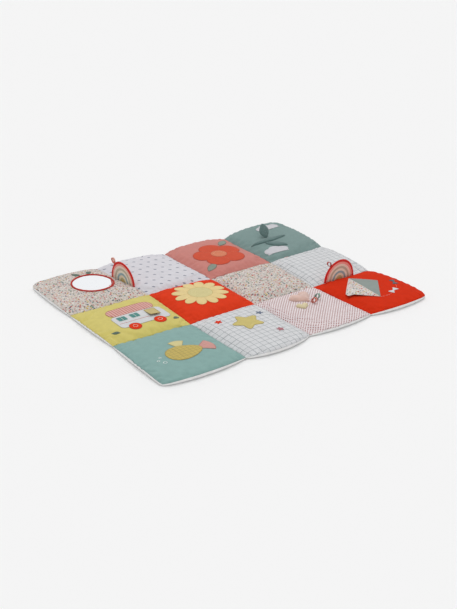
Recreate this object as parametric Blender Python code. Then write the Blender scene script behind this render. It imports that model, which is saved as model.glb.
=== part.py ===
"""Baby play mat: twelve filled patches in one quilted pad, with sewn-on cloth shapes.

Metres, +Z up.  The mat lies on z = 0 with its long side along X.
"""

import math

import bmesh
import bpy
from mathutils import Matrix, Vector
from mathutils.bvhtree import BVHTree

MM = 0.001

# Seam lines between the four columns and three rows of patches
COLUMN_LINES = (-0.650, -0.295, 0.026, 0.344, 0.650)
ROW_LINES = (-0.524, -0.163, 0.158, 0.524)

# How far each seam crossing lies off its two lines, x and y in mm, one row for each row line
CROSSING_SHIFT_MM = (
    ((-10, -9), (6, -8), (-1, 1), (0, 6), (9, 9)),
    ((4, 0), (2, -5), (0, -1), (-14, -2), (-14, -12)),
    ((3, 14), (20, 14), (3, -2), (7, -2), (2, 5)),
    ((11, 9), (-24, 9), (-12, -22), (-2, -22), (20, 16)),
)

# Height of each patch's crown in mm, one row for each row of patches
CROWN_MM = (
    (26, 27, 25, 26),
    (25, 27, 24, 25),
    (24, 25, 26, 26),
)

# How far the free edge of each outer patch swells past its seam ends, in mm
NEAR_SWELL_MM = (26, 36, 20, 24)
FAR_SWELL_MM = (10, 14, 22, 16)
LEFT_SWELL_MM = (6, 5, 8)
RIGHT_SWELL_MM = (10, 6, 12)

# Heights at the sewn lines and at the mat's edge
SEAM_TOP = 7.5 * MM
SEAM_BOTTOM = 2.5 * MM
EDGE_SEAM_CORNER = 11.0 * MM
EDGE_SEAM_RISE = 7.0 * MM
EDGE_BASE_POWER = 4.0
ROUND_START = 0.9
CROWN_POWER = 3.2
EDGE_CROWN_POWER = 6.0
CROWN_FULLNESS = 0.56
SWELL_POWER = 2.2

# How far the mat's four corners are rounded in, and how soon along their sides
CORNER_PULL = 7.0 * MM
CORNER_POWER = 12

# Where each patch's mesh has its lines, from seam to seam
STATIONS = (-1.0, -0.97, -0.9, -0.78, -0.55, -0.2, 0.2, 0.55, 0.78, 0.9, 0.97, 1.0)
FLAT_FIRST = STATIONS.index(-ROUND_START)
FLAT_LAST = STATIONS.index(ROUND_START)

# Clearance between pieces, and the cloth of a sewn-on shape
GAP = 0.35 * MM
CLOTH = 1.1 * MM
LAYER = GAP + CLOTH
HINGE_LIFT = 0.1 * MM

# Colours as red, green and blue shares, linear
COLOURS = {
    "mat": (0.60, 0.59, 0.58),
    "teal": (0.25, 0.40, 0.37),
    "dark_teal": (0.09, 0.17, 0.17),
    "red": (0.70, 0.05, 0.02),
    "mustard": (0.50, 0.38, 0.08),
    "cream": (0.75, 0.65, 0.40),
    "pink": (0.68, 0.37, 0.33),
    "orange_red": (0.60, 0.09, 0.05),
    "white": (0.75, 0.75, 0.75),
    "speckle": (0.52, 0.46, 0.42),
    "green": (0.10, 0.22, 0.14),
    "sage": (0.22, 0.30, 0.24),
    "navy": (0.06, 0.08, 0.13),
    "plum": (0.42, 0.12, 0.14),
    "blue": (0.10, 0.15, 0.25),
    "mirror": (0.85, 0.87, 0.90),
    "stripes": (0.72, 0.42, 0.36),
}


def clear_scene():
    """Remove every object that is there at the start."""
    for thing in list(bpy.data.objects):
        bpy.data.objects.remove(thing, do_unlink=True)


def material(colour):
    """Give the cloth material of one named colour."""
    found = bpy.data.materials.get(colour)
    if found:
        return found
    made = bpy.data.materials.new(colour)
    made.use_nodes = True
    shader = made.node_tree.nodes["Principled BSDF"]
    shader.inputs["Base Color"].default_value = (*COLOURS[colour], 1.0)
    shader.inputs["Roughness"].default_value = 0.15 if colour == "mirror" else 0.9
    shader.inputs["Metallic"].default_value = 0.6 if colour == "mirror" else 0.0
    return made


def new_object(name, bm, colour=None):
    """Turn a bmesh into a named object with its faces pointing out."""
    bmesh.ops.recalc_face_normals(bm, faces=bm.faces)
    mesh = bpy.data.meshes.new(name)
    bm.to_mesh(mesh)
    bm.free()
    made = bpy.data.objects.new(name, mesh)
    bpy.context.scene.collection.objects.link(made)
    if colour:
        mesh.materials.append(material(colour))
        mesh.shade_smooth()
        mesh.set_sharp_from_angle(angle=math.radians(40))
    return made


def combine(piece, tool, operation):
    """Cut or join a piece with a tool that is then removed."""
    step = piece.modifiers.new("step", "BOOLEAN")
    step.operation = operation
    step.solver = "EXACT"
    step.object = tool
    bpy.context.view_layer.update()
    shaped = bpy.data.meshes.new_from_object(piece.evaluated_get(bpy.context.evaluated_depsgraph_get()))
    piece.modifiers.clear()
    piece.data = shaped
    bpy.data.objects.remove(tool, do_unlink=True)
    return piece


class Patch:
    """One filled patch between four seam crossings; u and v run from -1 to 1 across it."""

    def __init__(self, column, row):
        self.column = column
        self.row = row
        self.crown = CROWN_MM[row][column] * MM
        self.swell = {
            "left": LEFT_SWELL_MM[row] * MM if column == 0 else None,
            "right": RIGHT_SWELL_MM[row] * MM if column == len(COLUMN_LINES) - 2 else None,
            "near": NEAR_SWELL_MM[column] * MM if row == 0 else None,
            "far": FAR_SWELL_MM[column] * MM if row == len(ROW_LINES) - 2 else None,
        }

    def corner(self, column, row):
        """Give the place of a seam crossing."""
        shift = CROSSING_SHIFT_MM[row][column]
        return Vector((COLUMN_LINES[column] + shift[0] * MM, ROW_LINES[row] + shift[1] * MM))

    def place(self, u, v):
        """Give the x and y of a point of the patch."""
        a = self.corner(self.column, self.row)
        b = self.corner(self.column + 1, self.row)
        c = self.corner(self.column, self.row + 1)
        d = self.corner(self.column + 1, self.row + 1)
        s = (u + 1) / 2
        t = (v + 1) / 2
        at = a.lerp(b, s).lerp(c.lerp(d, s), t)
        across = {"left": (-1, 0, -u, v), "right": (1, 0, u, v), "near": (0, -1, -v, u), "far": (0, 1, v, u)}
        for side, (x, y, out, along) in across.items():
            if self.swell[side] and out > 0:
                reach = self.swell[side] * out**1.5 * (1 - abs(along) ** SWELL_POWER)
                at += Vector((x, y)) * reach
        if self.side_is_free(u, "left", "right") and self.side_is_free(v, "near", "far"):
            pull = CORNER_PULL * abs(u * v) ** CORNER_POWER
            at -= Vector((math.copysign(pull, u), math.copysign(pull, v)))
        return at

    def side_is_free(self, t, low, high):
        """Say whether the side that a coordinate leans to is an outer edge of the mat."""
        return self.swell[low if t < 0 else high] is not None

    def heights(self, u, v):
        """Give the top and bottom height of the patch at a point."""
        inside = 1.0
        lift = 0.0
        outward = 0.0
        drop = 1.0
        for t, low, high in ((u, "left", "right"), (v, "near", "far")):
            past = max(0.0, (abs(t) - ROUND_START) / (1 - ROUND_START))
            if self.side_is_free(t, low, high):
                inside *= math.sqrt(max(0.0, 1 - past**2))
                outward = max(outward, abs(t) ** EDGE_BASE_POWER)
                drop *= 1 - abs(t) ** EDGE_CROWN_POWER
            else:
                lift = max(lift, past**2)
                drop *= 1 - abs(t) ** CROWN_POWER
        edge = EDGE_SEAM_CORNER + EDGE_SEAM_RISE * (1 - min(abs(u), abs(v)) ** 2.5)
        base = SEAM_TOP + (edge - SEAM_TOP) * outward
        top = base + (self.crown - base) * drop**CROWN_FULLNESS
        bottom = SEAM_BOTTOM * lift * inside + edge * (1 - inside)
        return top, bottom


PATCHES = {
    (column, row): Patch(column, row)
    for column in range(len(COLUMN_LINES) - 1)
    for row in range(len(ROW_LINES) - 1)
}


def middle_of_box():
    """Give the middle of the mat's outline, which becomes the origin."""
    spots = [patch.place(u, v) for patch in PATCHES.values() for u in STATIONS for v in STATIONS]
    xs = [spot.x for spot in spots]
    ys = [spot.y for spot in spots]
    return Vector(((min(xs) + max(xs)) / 2, (min(ys) + max(ys)) / 2))


MIDDLE = middle_of_box()


def grid_lines():
    """Give the mat's mesh lines as pairs of patch number and station, both ways."""
    columns = [(c, s) for c in range(len(COLUMN_LINES) - 1) for s in range(len(STATIONS) - 1)]
    rows = [(r, s) for r in range(len(ROW_LINES) - 1) for s in range(len(STATIONS) - 1)]
    columns.append((len(COLUMN_LINES) - 2, len(STATIONS) - 1))
    rows.append((len(ROW_LINES) - 2, len(STATIONS) - 1))
    return columns, rows


def grid_spots():
    """Give x, y, top and bottom at every crossing of the mesh lines, by column and row."""
    columns, rows = grid_lines()
    spots = {}
    for i, (column, s) in enumerate(columns):
        for k, (row, t) in enumerate(rows):
            patch = PATCHES[column, row]
            at = patch.place(STATIONS[s], STATIONS[t]) - MIDDLE
            spots[i, k] = (at.x, at.y, *patch.heights(STATIONS[s], STATIONS[t]))
    return spots, len(columns), len(rows)


SPOTS, WIDE, DEEP = grid_spots()


def add_triangles(bm, verts, flipped=False):
    """Add the two triangles of each cell, split the same way on every layer."""
    for i in range(WIDE - 1):
        for k in range(DEEP - 1):
            a, b, c, d = (verts[i, k], verts[i + 1, k], verts[i + 1, k + 1], verts[i, k + 1])
            for three in ((a, b, c), (a, c, d)):
                bm.faces.new(reversed(three) if flipped else three)


def rim_spots():
    """Give the grid places along the mat's outline, once round."""
    near = [(i, 0) for i in range(WIDE)]
    right = [(WIDE - 1, k) for k in range(1, DEEP)]
    far = [(i, DEEP - 1) for i in range(WIDE - 2, -1, -1)]
    left = [(0, k) for k in range(DEEP - 2, 0, -1)]
    return near + right + far + left


def layer(name, low, high):
    """Make a closed layer between two heights over the mat's top; low None is under the floor."""
    bm = bmesh.new()
    upper = {}
    lower = {}
    for spot, (x, y, top, _) in SPOTS.items():
        upper[spot] = bm.verts.new((x, y, top + high))
        lower[spot] = bm.verts.new((x, y, -10 * MM if low is None else top + low))
    add_triangles(bm, upper)
    add_triangles(bm, lower, flipped=True)
    rim = rim_spots()
    for one, two in zip(rim, rim[1:] + rim[:1]):
        bm.faces.new((lower[one], lower[two], upper[two], upper[one]))
    return new_object(name, bm)


def make_mat():
    """Make the filled mat with its crowns, sewn lines and rounded edge."""
    bm = bmesh.new()
    upper = {}
    lower = {}
    rim = set(rim_spots())
    for spot, (x, y, top, bottom) in SPOTS.items():
        upper[spot] = bm.verts.new((x, y, top))
        lower[spot] = upper[spot] if spot in rim else bm.verts.new((x, y, bottom))
    add_triangles(bm, upper)
    cells = len(STATIONS) - 1
    for i in range(WIDE - 1):
        for k in range(DEEP - 1):
            flat = FLAT_FIRST <= i % cells < FLAT_LAST and FLAT_FIRST <= k % cells < FLAT_LAST
            if not flat:
                corners = (lower[i, k], lower[i, k + 1], lower[i + 1, k + 1], lower[i + 1, k])
                bm.faces.new(corners)
    for column in range(len(COLUMN_LINES) - 1):
        for row in range(len(ROW_LINES) - 1):
            i0, i1 = (column * cells + FLAT_FIRST, column * cells + FLAT_LAST)
            k0, k1 = (row * cells + FLAT_FIRST, row * cells + FLAT_LAST)
            loop = [(i0, k) for k in range(k0, k1)] + [(i, k1) for i in range(i0, i1)]
            loop += [(i1, k) for k in range(k1, k0, -1)] + [(i, k0) for i in range(i1, i0, -1)]
            bm.faces.new([lower[spot] for spot in loop])
    bmesh.ops.delete(bm, geom=[v for v in bm.verts if not v.link_faces], context="VERTS")
    return new_object("mat", bm, "mat")


def mat_tree():
    """Give a search tree of the mat's top for reading heights."""
    spots = list(SPOTS)
    index = {spot: n for n, spot in enumerate(spots)}
    faces = []
    for i in range(WIDE - 1):
        for k in range(DEEP - 1):
            a, b, c, d = (index[i, k], index[i + 1, k], index[i + 1, k + 1], index[i, k + 1])
            faces += [(a, b, c), (a, c, d)]
    return BVHTree.FromPolygons([SPOTS[s][:3] for s in spots], faces)


TREE = mat_tree()


def top_at(x, y):
    """Give the height of the mat's top at a place."""
    return TREE.ray_cast(Vector((x, y, 1.0)), Vector((0, 0, -1)))[0].z


def centre(column, row):
    """Give the middle of a patch."""
    return PATCHES[column, row].place(0, 0) - MIDDLE


def turned(points, degrees):
    """Turn an outline about its own origin."""
    spin = Matrix.Rotation(math.radians(degrees), 2)
    return [spin @ Vector(point) for point in points]


def moved(points, at):
    """Move an outline to a place."""
    return [Vector(point) + at for point in points]


def oval(wide, tall, count=28):
    """Give an oval outline of a width and height."""
    steps = [2 * math.pi * n / count for n in range(count)]
    return [Vector((wide / 2 * math.cos(a), tall / 2 * math.sin(a))) for a in steps]


def lobes(radius, depth, number, count, sharp=1.0):
    """Give a flower-like outline of round lobes; depth is the share lost between them."""
    points = []
    for n in range(count):
        a = 2 * math.pi * n / count
        dip = abs(math.cos(number * a / 2)) ** sharp
        r = radius * (1 - depth + depth * dip)
        points.append(Vector((r * math.cos(a), r * math.sin(a))))
    return points


def star(radius, inner=0.52, number=5, soft=0.12):
    """Give a star outline whose points are cut short to a small round."""
    points = []
    for n in range(number):
        tip = math.pi / 2 + 2 * math.pi * n / number
        for offset in (-soft, soft):
            points.append(Vector((math.cos(tip + offset), math.sin(tip + offset))) * radius * 0.97)
        valley = tip + math.pi / number
        points.append(Vector((math.cos(valley), math.sin(valley))) * radius * inner)
    return points


def leaf(length, width, count=10):
    """Give a pointed leaf outline that starts at its foot and grows along +X."""
    upper = [(length * n / count, width / 2 * math.sin(math.pi * n / count) ** 0.8) for n in range(count + 1)]
    lower = [(x, -y) for x, y in reversed(upper[1:-1])]
    return [Vector(point) for point in upper + lower]


def rounded_box(wide, tall, radius, corner_steps=4):
    """Give a rectangle outline with round corners."""
    points = []
    for cx, cy, start in ((1, 1, 0), (-1, 1, 90), (-1, -1, 180), (1, -1, 270)):
        for n in range(corner_steps + 1):
            a = math.radians(start + 90 * n / corner_steps)
            x = cx * (wide / 2 - radius) + radius * math.cos(a)
            y = cy * (tall / 2 - radius) + radius * math.sin(a)
            points.append(Vector((x, y)))
    return points


def heart(size, count=36):
    """Give a heart outline of about the given width, its tip towards -Y."""
    points = []
    for n in range(count):
        a = 2 * math.pi * (n + 0.5) / count
        x = 16 * math.sin(a) ** 3
        y = 13 * math.cos(a) - 5 * math.cos(2 * a) - 2 * math.cos(3 * a) - math.cos(4 * a)
        points.append(Vector((x, y + 2)) * size / 32)
    return points


def fan(radius, spread, foot, count=8):
    """Give a fan outline opening towards +X from a narrow foot."""
    half = math.radians(spread / 2)
    edge = [Vector((math.cos(a), math.sin(a))) * radius for a in
            (half * (2 * n / count - 1) for n in range(count + 1))]
    return [Vector((0, -foot / 2))] + edge + [Vector((0, foot / 2))]


def prism(name, outline, low, high):
    """Make an upright prism on an outline."""
    bm = bmesh.new()
    lower = [bm.verts.new((p.x, p.y, low)) for p in outline]
    upper = [bm.verts.new((p.x, p.y, high)) for p in outline]
    bm.faces.new(upper)
    bm.faces.new(list(reversed(lower)))
    for n in range(len(outline)):
        m = (n + 1) % len(outline)
        bm.faces.new((lower[n], lower[m], upper[m], upper[n]))
    return new_object(name, bm)


def tidy(piece, name, colour):
    """Clear needle faces, name the piece and give it its cloth."""
    bm = bmesh.new()
    bm.from_mesh(piece.data)
    bmesh.ops.remove_doubles(bm, verts=bm.verts, dist=0.02 * MM)
    bmesh.ops.dissolve_degenerate(bm, edges=bm.edges, dist=0.02 * MM)
    bpy.data.objects.remove(piece, do_unlink=True)
    return new_object(name, bm, colour)


def grown(outline, by):
    """Give a convex outline a little larger all round."""
    heart_of = sum(outline, Vector((0, 0))) / len(outline)
    return [p + (p - heart_of).normalized() * by for p in outline]


def sewn_flat(name, outline, colour, level=0, cloth=CLOTH, around=()):
    """Make a cloth shape that lies on the mat's top, or on the layers already there.

    The shapes listed in around lie in the same layer and are cut out of it.
    """
    low = GAP + level * LAYER
    piece = layer(name + "_cloth", low, low + cloth)
    combine(piece, prism(name + "_outline", outline, 0, 0.1), "INTERSECT")
    for other in around:
        combine(piece, prism(name + "_room", grown(other, 0.45 * MM), -0.01, 0.11), "DIFFERENCE")
    return tidy(piece, name, colour)


def seated(piece, name, colour, level=0):
    """Cut a piece to sit just over the mat's top, or over the layers already there."""
    combine(piece, layer(name + "_seat", None, GAP + level * LAYER), "DIFFERENCE")
    return tidy(piece, name, colour)


def padded(name, outline, height, colour, level=0, rings=(1.0, 0.93, 0.8, 0.58, 0.3)):
    """Make a filled shape with a crown, lying on the mat."""
    heart_of = sum(outline, Vector((0, 0))) / len(outline)
    bm = bmesh.new()
    base = level * LAYER + GAP + CLOTH
    lowest = min(top_at(p.x, p.y) for p in outline) - 4 * MM
    bottom = [bm.verts.new((p.x, p.y, lowest)) for p in outline]
    bm.faces.new(list(reversed(bottom)))
    previous = bottom
    for share in rings:
        crown = height * (1 - share**2.4) ** 0.55
        ring = []
        for p in outline:
            q = heart_of + (p - heart_of) * share
            ring.append(bm.verts.new((q.x, q.y, top_at(q.x, q.y) + base + crown)))
        for n in range(len(ring)):
            m = (n + 1) % len(ring)
            bm.faces.new((previous[n], previous[m], ring[m], ring[n]))
        previous = ring
    peak = bm.verts.new((heart_of.x, heart_of.y, top_at(heart_of.x, heart_of.y) + base + height))
    for n in range(len(previous)):
        bm.faces.new((previous[n], previous[(n + 1) % len(previous)], peak))
    return seated(new_object(name + "_fill", bm), name, colour, level)


def lens(name, outline, thickness, frame):
    """Make a filled shape with a crown on both faces, set in space by a frame."""
    heart_of = sum(outline, Vector((0, 0))) / len(outline)
    bm = bmesh.new()
    rim = [bm.verts.new(frame @ Vector((p.x, p.y, 0))) for p in outline]
    for face in (1, -1):
        previous = rim
        for share in (0.9, 0.68, 0.36):
            crown = face * thickness / 2 * (1 - share**2.2) ** 0.5
            ring = []
            for p in outline:
                q = heart_of + (p - heart_of) * share
                ring.append(bm.verts.new(frame @ Vector((q.x, q.y, crown))))
            for n in range(len(ring)):
                m = (n + 1) % len(ring)
                bm.faces.new((previous[n], previous[m], ring[m], ring[n]))
            previous = ring
        peak = bm.verts.new(frame @ Vector((heart_of.x, heart_of.y, face * thickness / 2)))
        for n in range(len(previous)):
            bm.faces.new((previous[n], previous[(n + 1) % len(previous)], peak))
    return new_object(name, bm)


def flap(name, at, across, down, width_top, width_bottom, rise, colour, level, cloth=1.8 * MM):
    """Make a loose flap sewn along its top edge and raised towards its free edge.

    across and down are the flap's directions on the mat, down with the flap's length.
    """
    steps_down = 6
    steps_across = 4
    bm = bmesh.new()
    upper = {}
    lower = {}
    for k in range(steps_down + 1):
        t = k / steps_down
        width = width_top + (width_bottom - width_top) * t
        for i in range(steps_across + 1):
            s = i / steps_across - 0.5
            p = at + across * (width * s) + down * t
            z = top_at(p.x, p.y) + level * LAYER + GAP + HINGE_LIFT + rise * t**1.6 * (1 - 0.5 * s)
            lower[i, k] = bm.verts.new((p.x, p.y, z))
            upper[i, k] = bm.verts.new((p.x, p.y, z + cloth))
    for i in range(steps_across):
        for k in range(steps_down):
            bm.faces.new((upper[i, k], upper[i + 1, k], upper[i + 1, k + 1], upper[i, k + 1]))
            bm.faces.new((lower[i, k], lower[i, k + 1], lower[i + 1, k + 1], lower[i + 1, k]))
    rim = [(i, 0) for i in range(steps_across)] + [(steps_across, k) for k in range(steps_down)]
    rim += [(i, steps_down) for i in range(steps_across, 0, -1)] + [(0, k) for k in range(steps_down, 0, -1)]
    for one, two in zip(rim, rim[1:] + rim[:1]):
        bm.faces.new((lower[one], lower[two], upper[two], upper[one]))
    return seated(new_object(name + "_flap", bm), name, colour, level)


def ribbon_loop(name, root, along, aside, length, spread, ribbon, colour, cloth=1.2 * MM):
    """Make a folded ribbon loop: along points out of its seam, aside across the gap."""
    across = along.cross(aside).normalized()
    count = 18
    bm = bmesh.new()
    rings = {}
    for side, shrink in (("out", 0.0), ("in", cloth)):
        for end in (-0.5, 0.5):
            points = []
            for n in range(count):
                a = 2 * math.pi * (n + 0.5) / count
                reach = shrink * 2.2 + (length - shrink * 3.2) * (1 - math.cos(a)) / 2
                gap = (spread / 2 - shrink) * math.sin(a) * math.sin(a / 2) ** 0.35 * 1.25
                place = root + along * reach + aside * gap + across * (ribbon * end)
                points.append(bm.verts.new(place))
            rings[side, end] = points
    for one, two in ((("out", -0.5), ("out", 0.5)), (("out", 0.5), ("in", 0.5)),
                     (("in", 0.5), ("in", -0.5)), (("in", -0.5), ("out", -0.5))):
        for n in range(count):
            m = (n + 1) % count
            bm.faces.new((rings[one][n], rings[one][m], rings[two][m], rings[two][n]))
    return new_object(name, bm, colour)


def half_disc(name, foot_a, foot_b, height, thickness, lean, level_down):
    """Make a standing half-disc between two feet; lean is how far its top tips over."""
    middle = (foot_a + foot_b) / 2
    along = (foot_b - foot_a).normalized()
    aside = Vector((-along.y, along.x))
    radius = (foot_b - foot_a).length / 2
    count = 16
    arc = []
    for n in range(count + 1):
        a = math.pi * n / count
        arc.append(Vector((radius * math.cos(a), height * math.sin(a))))
    outline = [Vector((radius, -level_down))] + arc + [Vector((-radius, -level_down))]
    bm = bmesh.new()
    rows = []
    for share, half in ((1.0, 0.22), (0.93, 0.42), (0.75, 0.5)):
        for face in (1, -1):
            ring = []
            for p in outline:
                x = p.x * share
                z = p.y * share if p.y > 0 else p.y
                tip = lean * (max(z, 0) / height) ** 2
                spot = middle + along * x + aside * (face * half * thickness + tip)
                ring.append(bm.verts.new((spot.x, spot.y, SEAM_TOP + z)))
            rows.append(ring)
    front = rows[0::2]
    back = rows[1::2]
    size = len(outline)
    for stack in (front, back):
        for inner, outer in zip(stack[1:], stack[:-1]):
            for n in range(size - 1):
                bm.faces.new((outer[n], outer[n + 1], inner[n + 1], inner[n]))
        bm.faces.new(stack[-1])
    for n in range(size):
        m = (n + 1) % size
        if m:
            bm.faces.new((front[0][n], front[0][m], back[0][m], back[0][n]))
    foot_right = [ring[0] for ring in front] + [ring[0] for ring in reversed(back)]
    foot_left = [ring[-1] for ring in front] + [ring[-1] for ring in reversed(back)]
    bm.faces.new(foot_right + list(reversed(foot_left)))
    return new_object(name + "_disc", bm)


def make_mirror():
    """Make the round soft mirror of patch (0, 2), its cloth rim and two cloth leaves."""
    at = centre(0, 2) + Vector((0.040, 0.018))
    glass = 0.170
    rim = 0.186
    steps = 40
    sewn_flat("mirror_glass", moved(oval(glass, glass, steps), at), "mirror", cloth=1.6 * MM)
    ring = padded("mirror_rim", moved(oval(rim, rim, steps), at), 0.5 * MM, "red", rings=(1.0, 0.985))
    hole = prism("mirror_hole", moved(oval(glass + 0.8 * MM, glass + 0.8 * MM, steps), at), -0.01, 0.1)
    combine(ring, hole, "DIFFERENCE")
    tidy(ring, "mirror_rim", "red")
    for side, turn, dx, dy in (("left", 118, -0.006, 0.098), ("right", 55, 0.030, 0.094)):
        shape = moved(turned(leaf(0.046, 0.022, 8), turn), at + Vector((dx, dy)))
        sewn_flat("mirror_leaf_" + side, shape, "green")


def make_rainbows():
    """Make the two striped half-discs that stand in seams, each with a ribbon loop."""
    rows = (
        ("rainbow_left", Vector((-0.286, 0.267)), Vector((-0.308, 0.421)), 0.006, 52, "cream"),
        ("rainbow_right", Vector((0.393, -0.1655)), Vector((0.552, -0.1715)), -0.006, 128, "red"),
    )
    height = 93 * MM
    for name, foot_a, foot_b, lean, loop_angle, colour in rows:
        foot_a = foot_a - MIDDLE
        foot_b = foot_b - MIDDLE
        disc = half_disc(name, foot_a, foot_b, height, 5 * MM, lean, 3 * MM)
        seated(disc, name, "stripes")
        along = (foot_b - foot_a).normalized()
        aside = Vector((-along.y, along.x))
        angle = math.radians(loop_angle)
        out = along * math.cos(angle)
        radius = (foot_b - foot_a).length / 2
        rim = (foot_a + foot_b) / 2 + out * radius + aside * (lean * math.sin(angle) ** 2)
        root = Vector((rim.x, rim.y, SEAM_TOP + height * math.sin(angle)))
        up = Vector((out.x, out.y, math.sin(angle))).normalized()
        across = Vector((aside.x, aside.y, 0))
        ribbon_loop(name + "_loop", root - up * (0.2 * MM), up, up.cross(across), 28 * MM, 15 * MM, 7 * MM, colour)


def make_fish():
    """Make the checked fish of patch (0, 0) with its tail and back fin."""
    at = centre(0, 0)
    body = []
    for p in oval(0.150, 0.104, 40):
        body.append(Vector((p.x, p.y * (1 - 3.2 * p.x))) + at + Vector((0.000, -0.046)))
    sewn_flat("fish_body", body, "mustard")
    tail = moved(fan(0.062, 84, 0.016), at + Vector((0.066, -0.046)))
    sewn_flat("fish_tail", tail, "pink", around=[body])
    fin = moved(turned(fan(0.052, 70, 0.020), 78), at + Vector((0.006, -0.002)))
    sewn_flat("fish_fin", fin, "cream", around=[body])


def make_stars():
    """Make the large star and three small stars of patch (1, 0)."""
    at = centre(1, 0)
    rows = (
        ("large_star", 0.064, 10, 0.004, 0.024, "cream"),
        ("small_star_red", 0.016, 0, -0.088, 0.092, "red"),
        ("small_star_blue", 0.016, 20, 0.096, 0.070, "blue"),
        ("small_star_plum", 0.016, -12, 0.070, -0.100, "plum"),
    )
    for name, radius, turn, dx, dy, colour in rows:
        inner = 0.60 if radius > 0.03 else 0.5
        sewn_flat(name, moved(turned(star(radius, inner), turn), at + Vector((dx, dy))), colour)


def make_hearts():
    """Make the two filled hearts of patch (2, 0) and the ribbon loops under the large one."""
    at = centre(2, 0)
    large = at + Vector((0.006, 0.072))
    small = at + Vector((-0.042, 0.006))
    padded("heart_large", moved(turned(heart(0.100), 8), large), 16 * MM, "pink")
    padded("heart_small", moved(turned(heart(0.052), -14), small), 10 * MM, "cream")
    rows = (
        ("ribbon_loop_red", 0.018, 0.022, "red"),
        ("ribbon_loop_green", 0.054, 0.046, "green"),
    )
    rise = math.radians(42)
    up = Vector((0, -math.cos(rise), math.sin(rise)))
    aside = Vector((0, math.sin(rise), math.cos(rise)))
    for name, dx, dy, colour in rows:
        foot = at + Vector((dx, dy))
        root = Vector((foot.x, foot.y, top_at(foot.x, foot.y) + GAP + 1.2 * MM))
        ribbon_loop(name, root, up, aside, 34 * MM, 17 * MM, 9 * MM, colour)


def bow(width, tall):
    """Give a bow outline: two wings on a narrow waist."""
    half = [(0.08, 0.14), (0.42, 0.50), (0.50, 0.30), (0.50, -0.30), (0.42, -0.50), (0.08, -0.14)]
    points = [Vector((x * width, y * tall)) for x, y in half]
    return points + [Vector((-p.x, p.y)) for p in reversed(points)]


def make_kite():
    """Make the kite of patch (3, 0): a loose half, a flat half and two bows of its tail."""
    at = centre(3, 0)
    top = at + Vector((-0.012, 0.122))
    foot = at + Vector((-0.034, -0.100))
    side = at + Vector((0.070, 0.030))
    loose = at + Vector((-0.130, -0.006))
    spine = (top - foot).normalized()
    middle = (top + foot) / 2
    step = (loose - middle).normalized() * (0.8 * MM)
    flap("kite_sail", middle + step, spine, loose - middle, (top - foot).length - 6 * MM,
         16 * MM, 9 * MM, "speckle", 0)
    sewn_flat("kite_half", [top + Vector((0.002, 0)), foot + Vector((0.002, 0)), side], "teal")
    rows = (
        ("kite_bow_white", 0.048, 0.028, 24, 0.056, -0.084, "white"),
        ("kite_bow_navy", 0.044, 0.026, 70, 0.118, -0.018, "navy"),
    )
    for name, wide, tall, turn, dx, dy, colour in rows:
        sewn_flat(name, moved(turned(bow(wide, tall), turn), at + Vector((dx, dy))), colour)


def make_bus():
    """Make the toy bus of patch (0, 1) with its roof, windows, wheels and loose door."""
    at = centre(0, 1)
    wheels = {
        "bus_wheel_back": moved(oval(0.050, 0.050, 24), at + Vector((-0.036, -0.098))),
        "bus_wheel_front": moved(oval(0.050, 0.050, 24), at + Vector((0.078, -0.098))),
    }
    body = moved(rounded_box(0.226, 0.104, 0.020), at + Vector((0.024, -0.040)))
    for name, outline in wheels.items():
        sewn_flat(name, outline, "red")
    sewn_flat("bus_body", body, "white", around=list(wheels.values()))
    roof = moved(rounded_box(0.206, 0.066, 0.030), at + Vector((0.022, 0.046)))
    sewn_flat("bus_roof", roof, "pink")
    for name, dx in (("bus_window_back", -0.050), ("bus_window_front", 0.008)):
        sewn_flat(name, moved(rounded_box(0.040, 0.036, 0.006), at + Vector((dx, -0.018))), "dark_teal", 1)
    hinge = at + Vector((0.086, 0.002))
    flap("bus_door", hinge, Vector((1, 0)), Vector((-0.008, -0.066)), 0.046, 0.046, 8 * MM, "mustard", 1)
    for name, turn, dx, dy in (("bus_leaf_left", 150, -0.112, -0.112), ("bus_leaf_right", 24, 0.128, -0.118)):
        sewn_flat(name, moved(turned(leaf(0.036, 0.018, 8), turn), at + Vector((dx, dy))), "green")


def make_daisy():
    """Make the daisy of patch (1, 1)."""
    at = centre(1, 1) + Vector((0.008, 0.020))
    disc = moved(oval(0.104, 0.104, 32), at)
    petals = moved(lobes(0.118, 0.34, 12, 96, 0.6), at)
    sewn_flat("daisy_centre", disc, "mustard")
    sewn_flat("daisy_petals", petals, "cream", around=[disc])


def make_blossom():
    """Make the large blossom of patch (2, 2) with its centre and two leaves."""
    at = centre(2, 2) + Vector((0.004, -0.006))
    petals = moved(turned(lobes(0.118, 0.26, 5, 60, 0.7), 90), at)
    sewn_flat("blossom", petals, "orange_red")
    sewn_flat("blossom_centre", moved(oval(0.072, 0.072, 24), at), "pink", 1)
    for name, turn, dx, dy in (("blossom_leaf_far", 38, 0.062, 0.082), ("blossom_leaf_near", 214, -0.072, -0.076)):
        shape = moved(turned(leaf(0.078, 0.034, 10), turn), at + Vector((dx, dy)))
        sewn_flat(name, shape, "sage", around=[petals])


def cloud(width, tall, count=24):
    """Give a cloud outline of three bumps on a flat foot."""
    points = [Vector((-width * 0.42, -tall * 0.16)), Vector((width * 0.42, -tall * 0.16))]
    for n in range(count + 1):
        a = math.pi * n / count
        bump = 0.80 + 0.20 * abs(math.sin(3 * a)) ** 0.6
        points.append(Vector((width / 2 * math.cos(a) * bump, tall * math.sin(a) * bump + tall * 0.02)))
    return points


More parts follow.
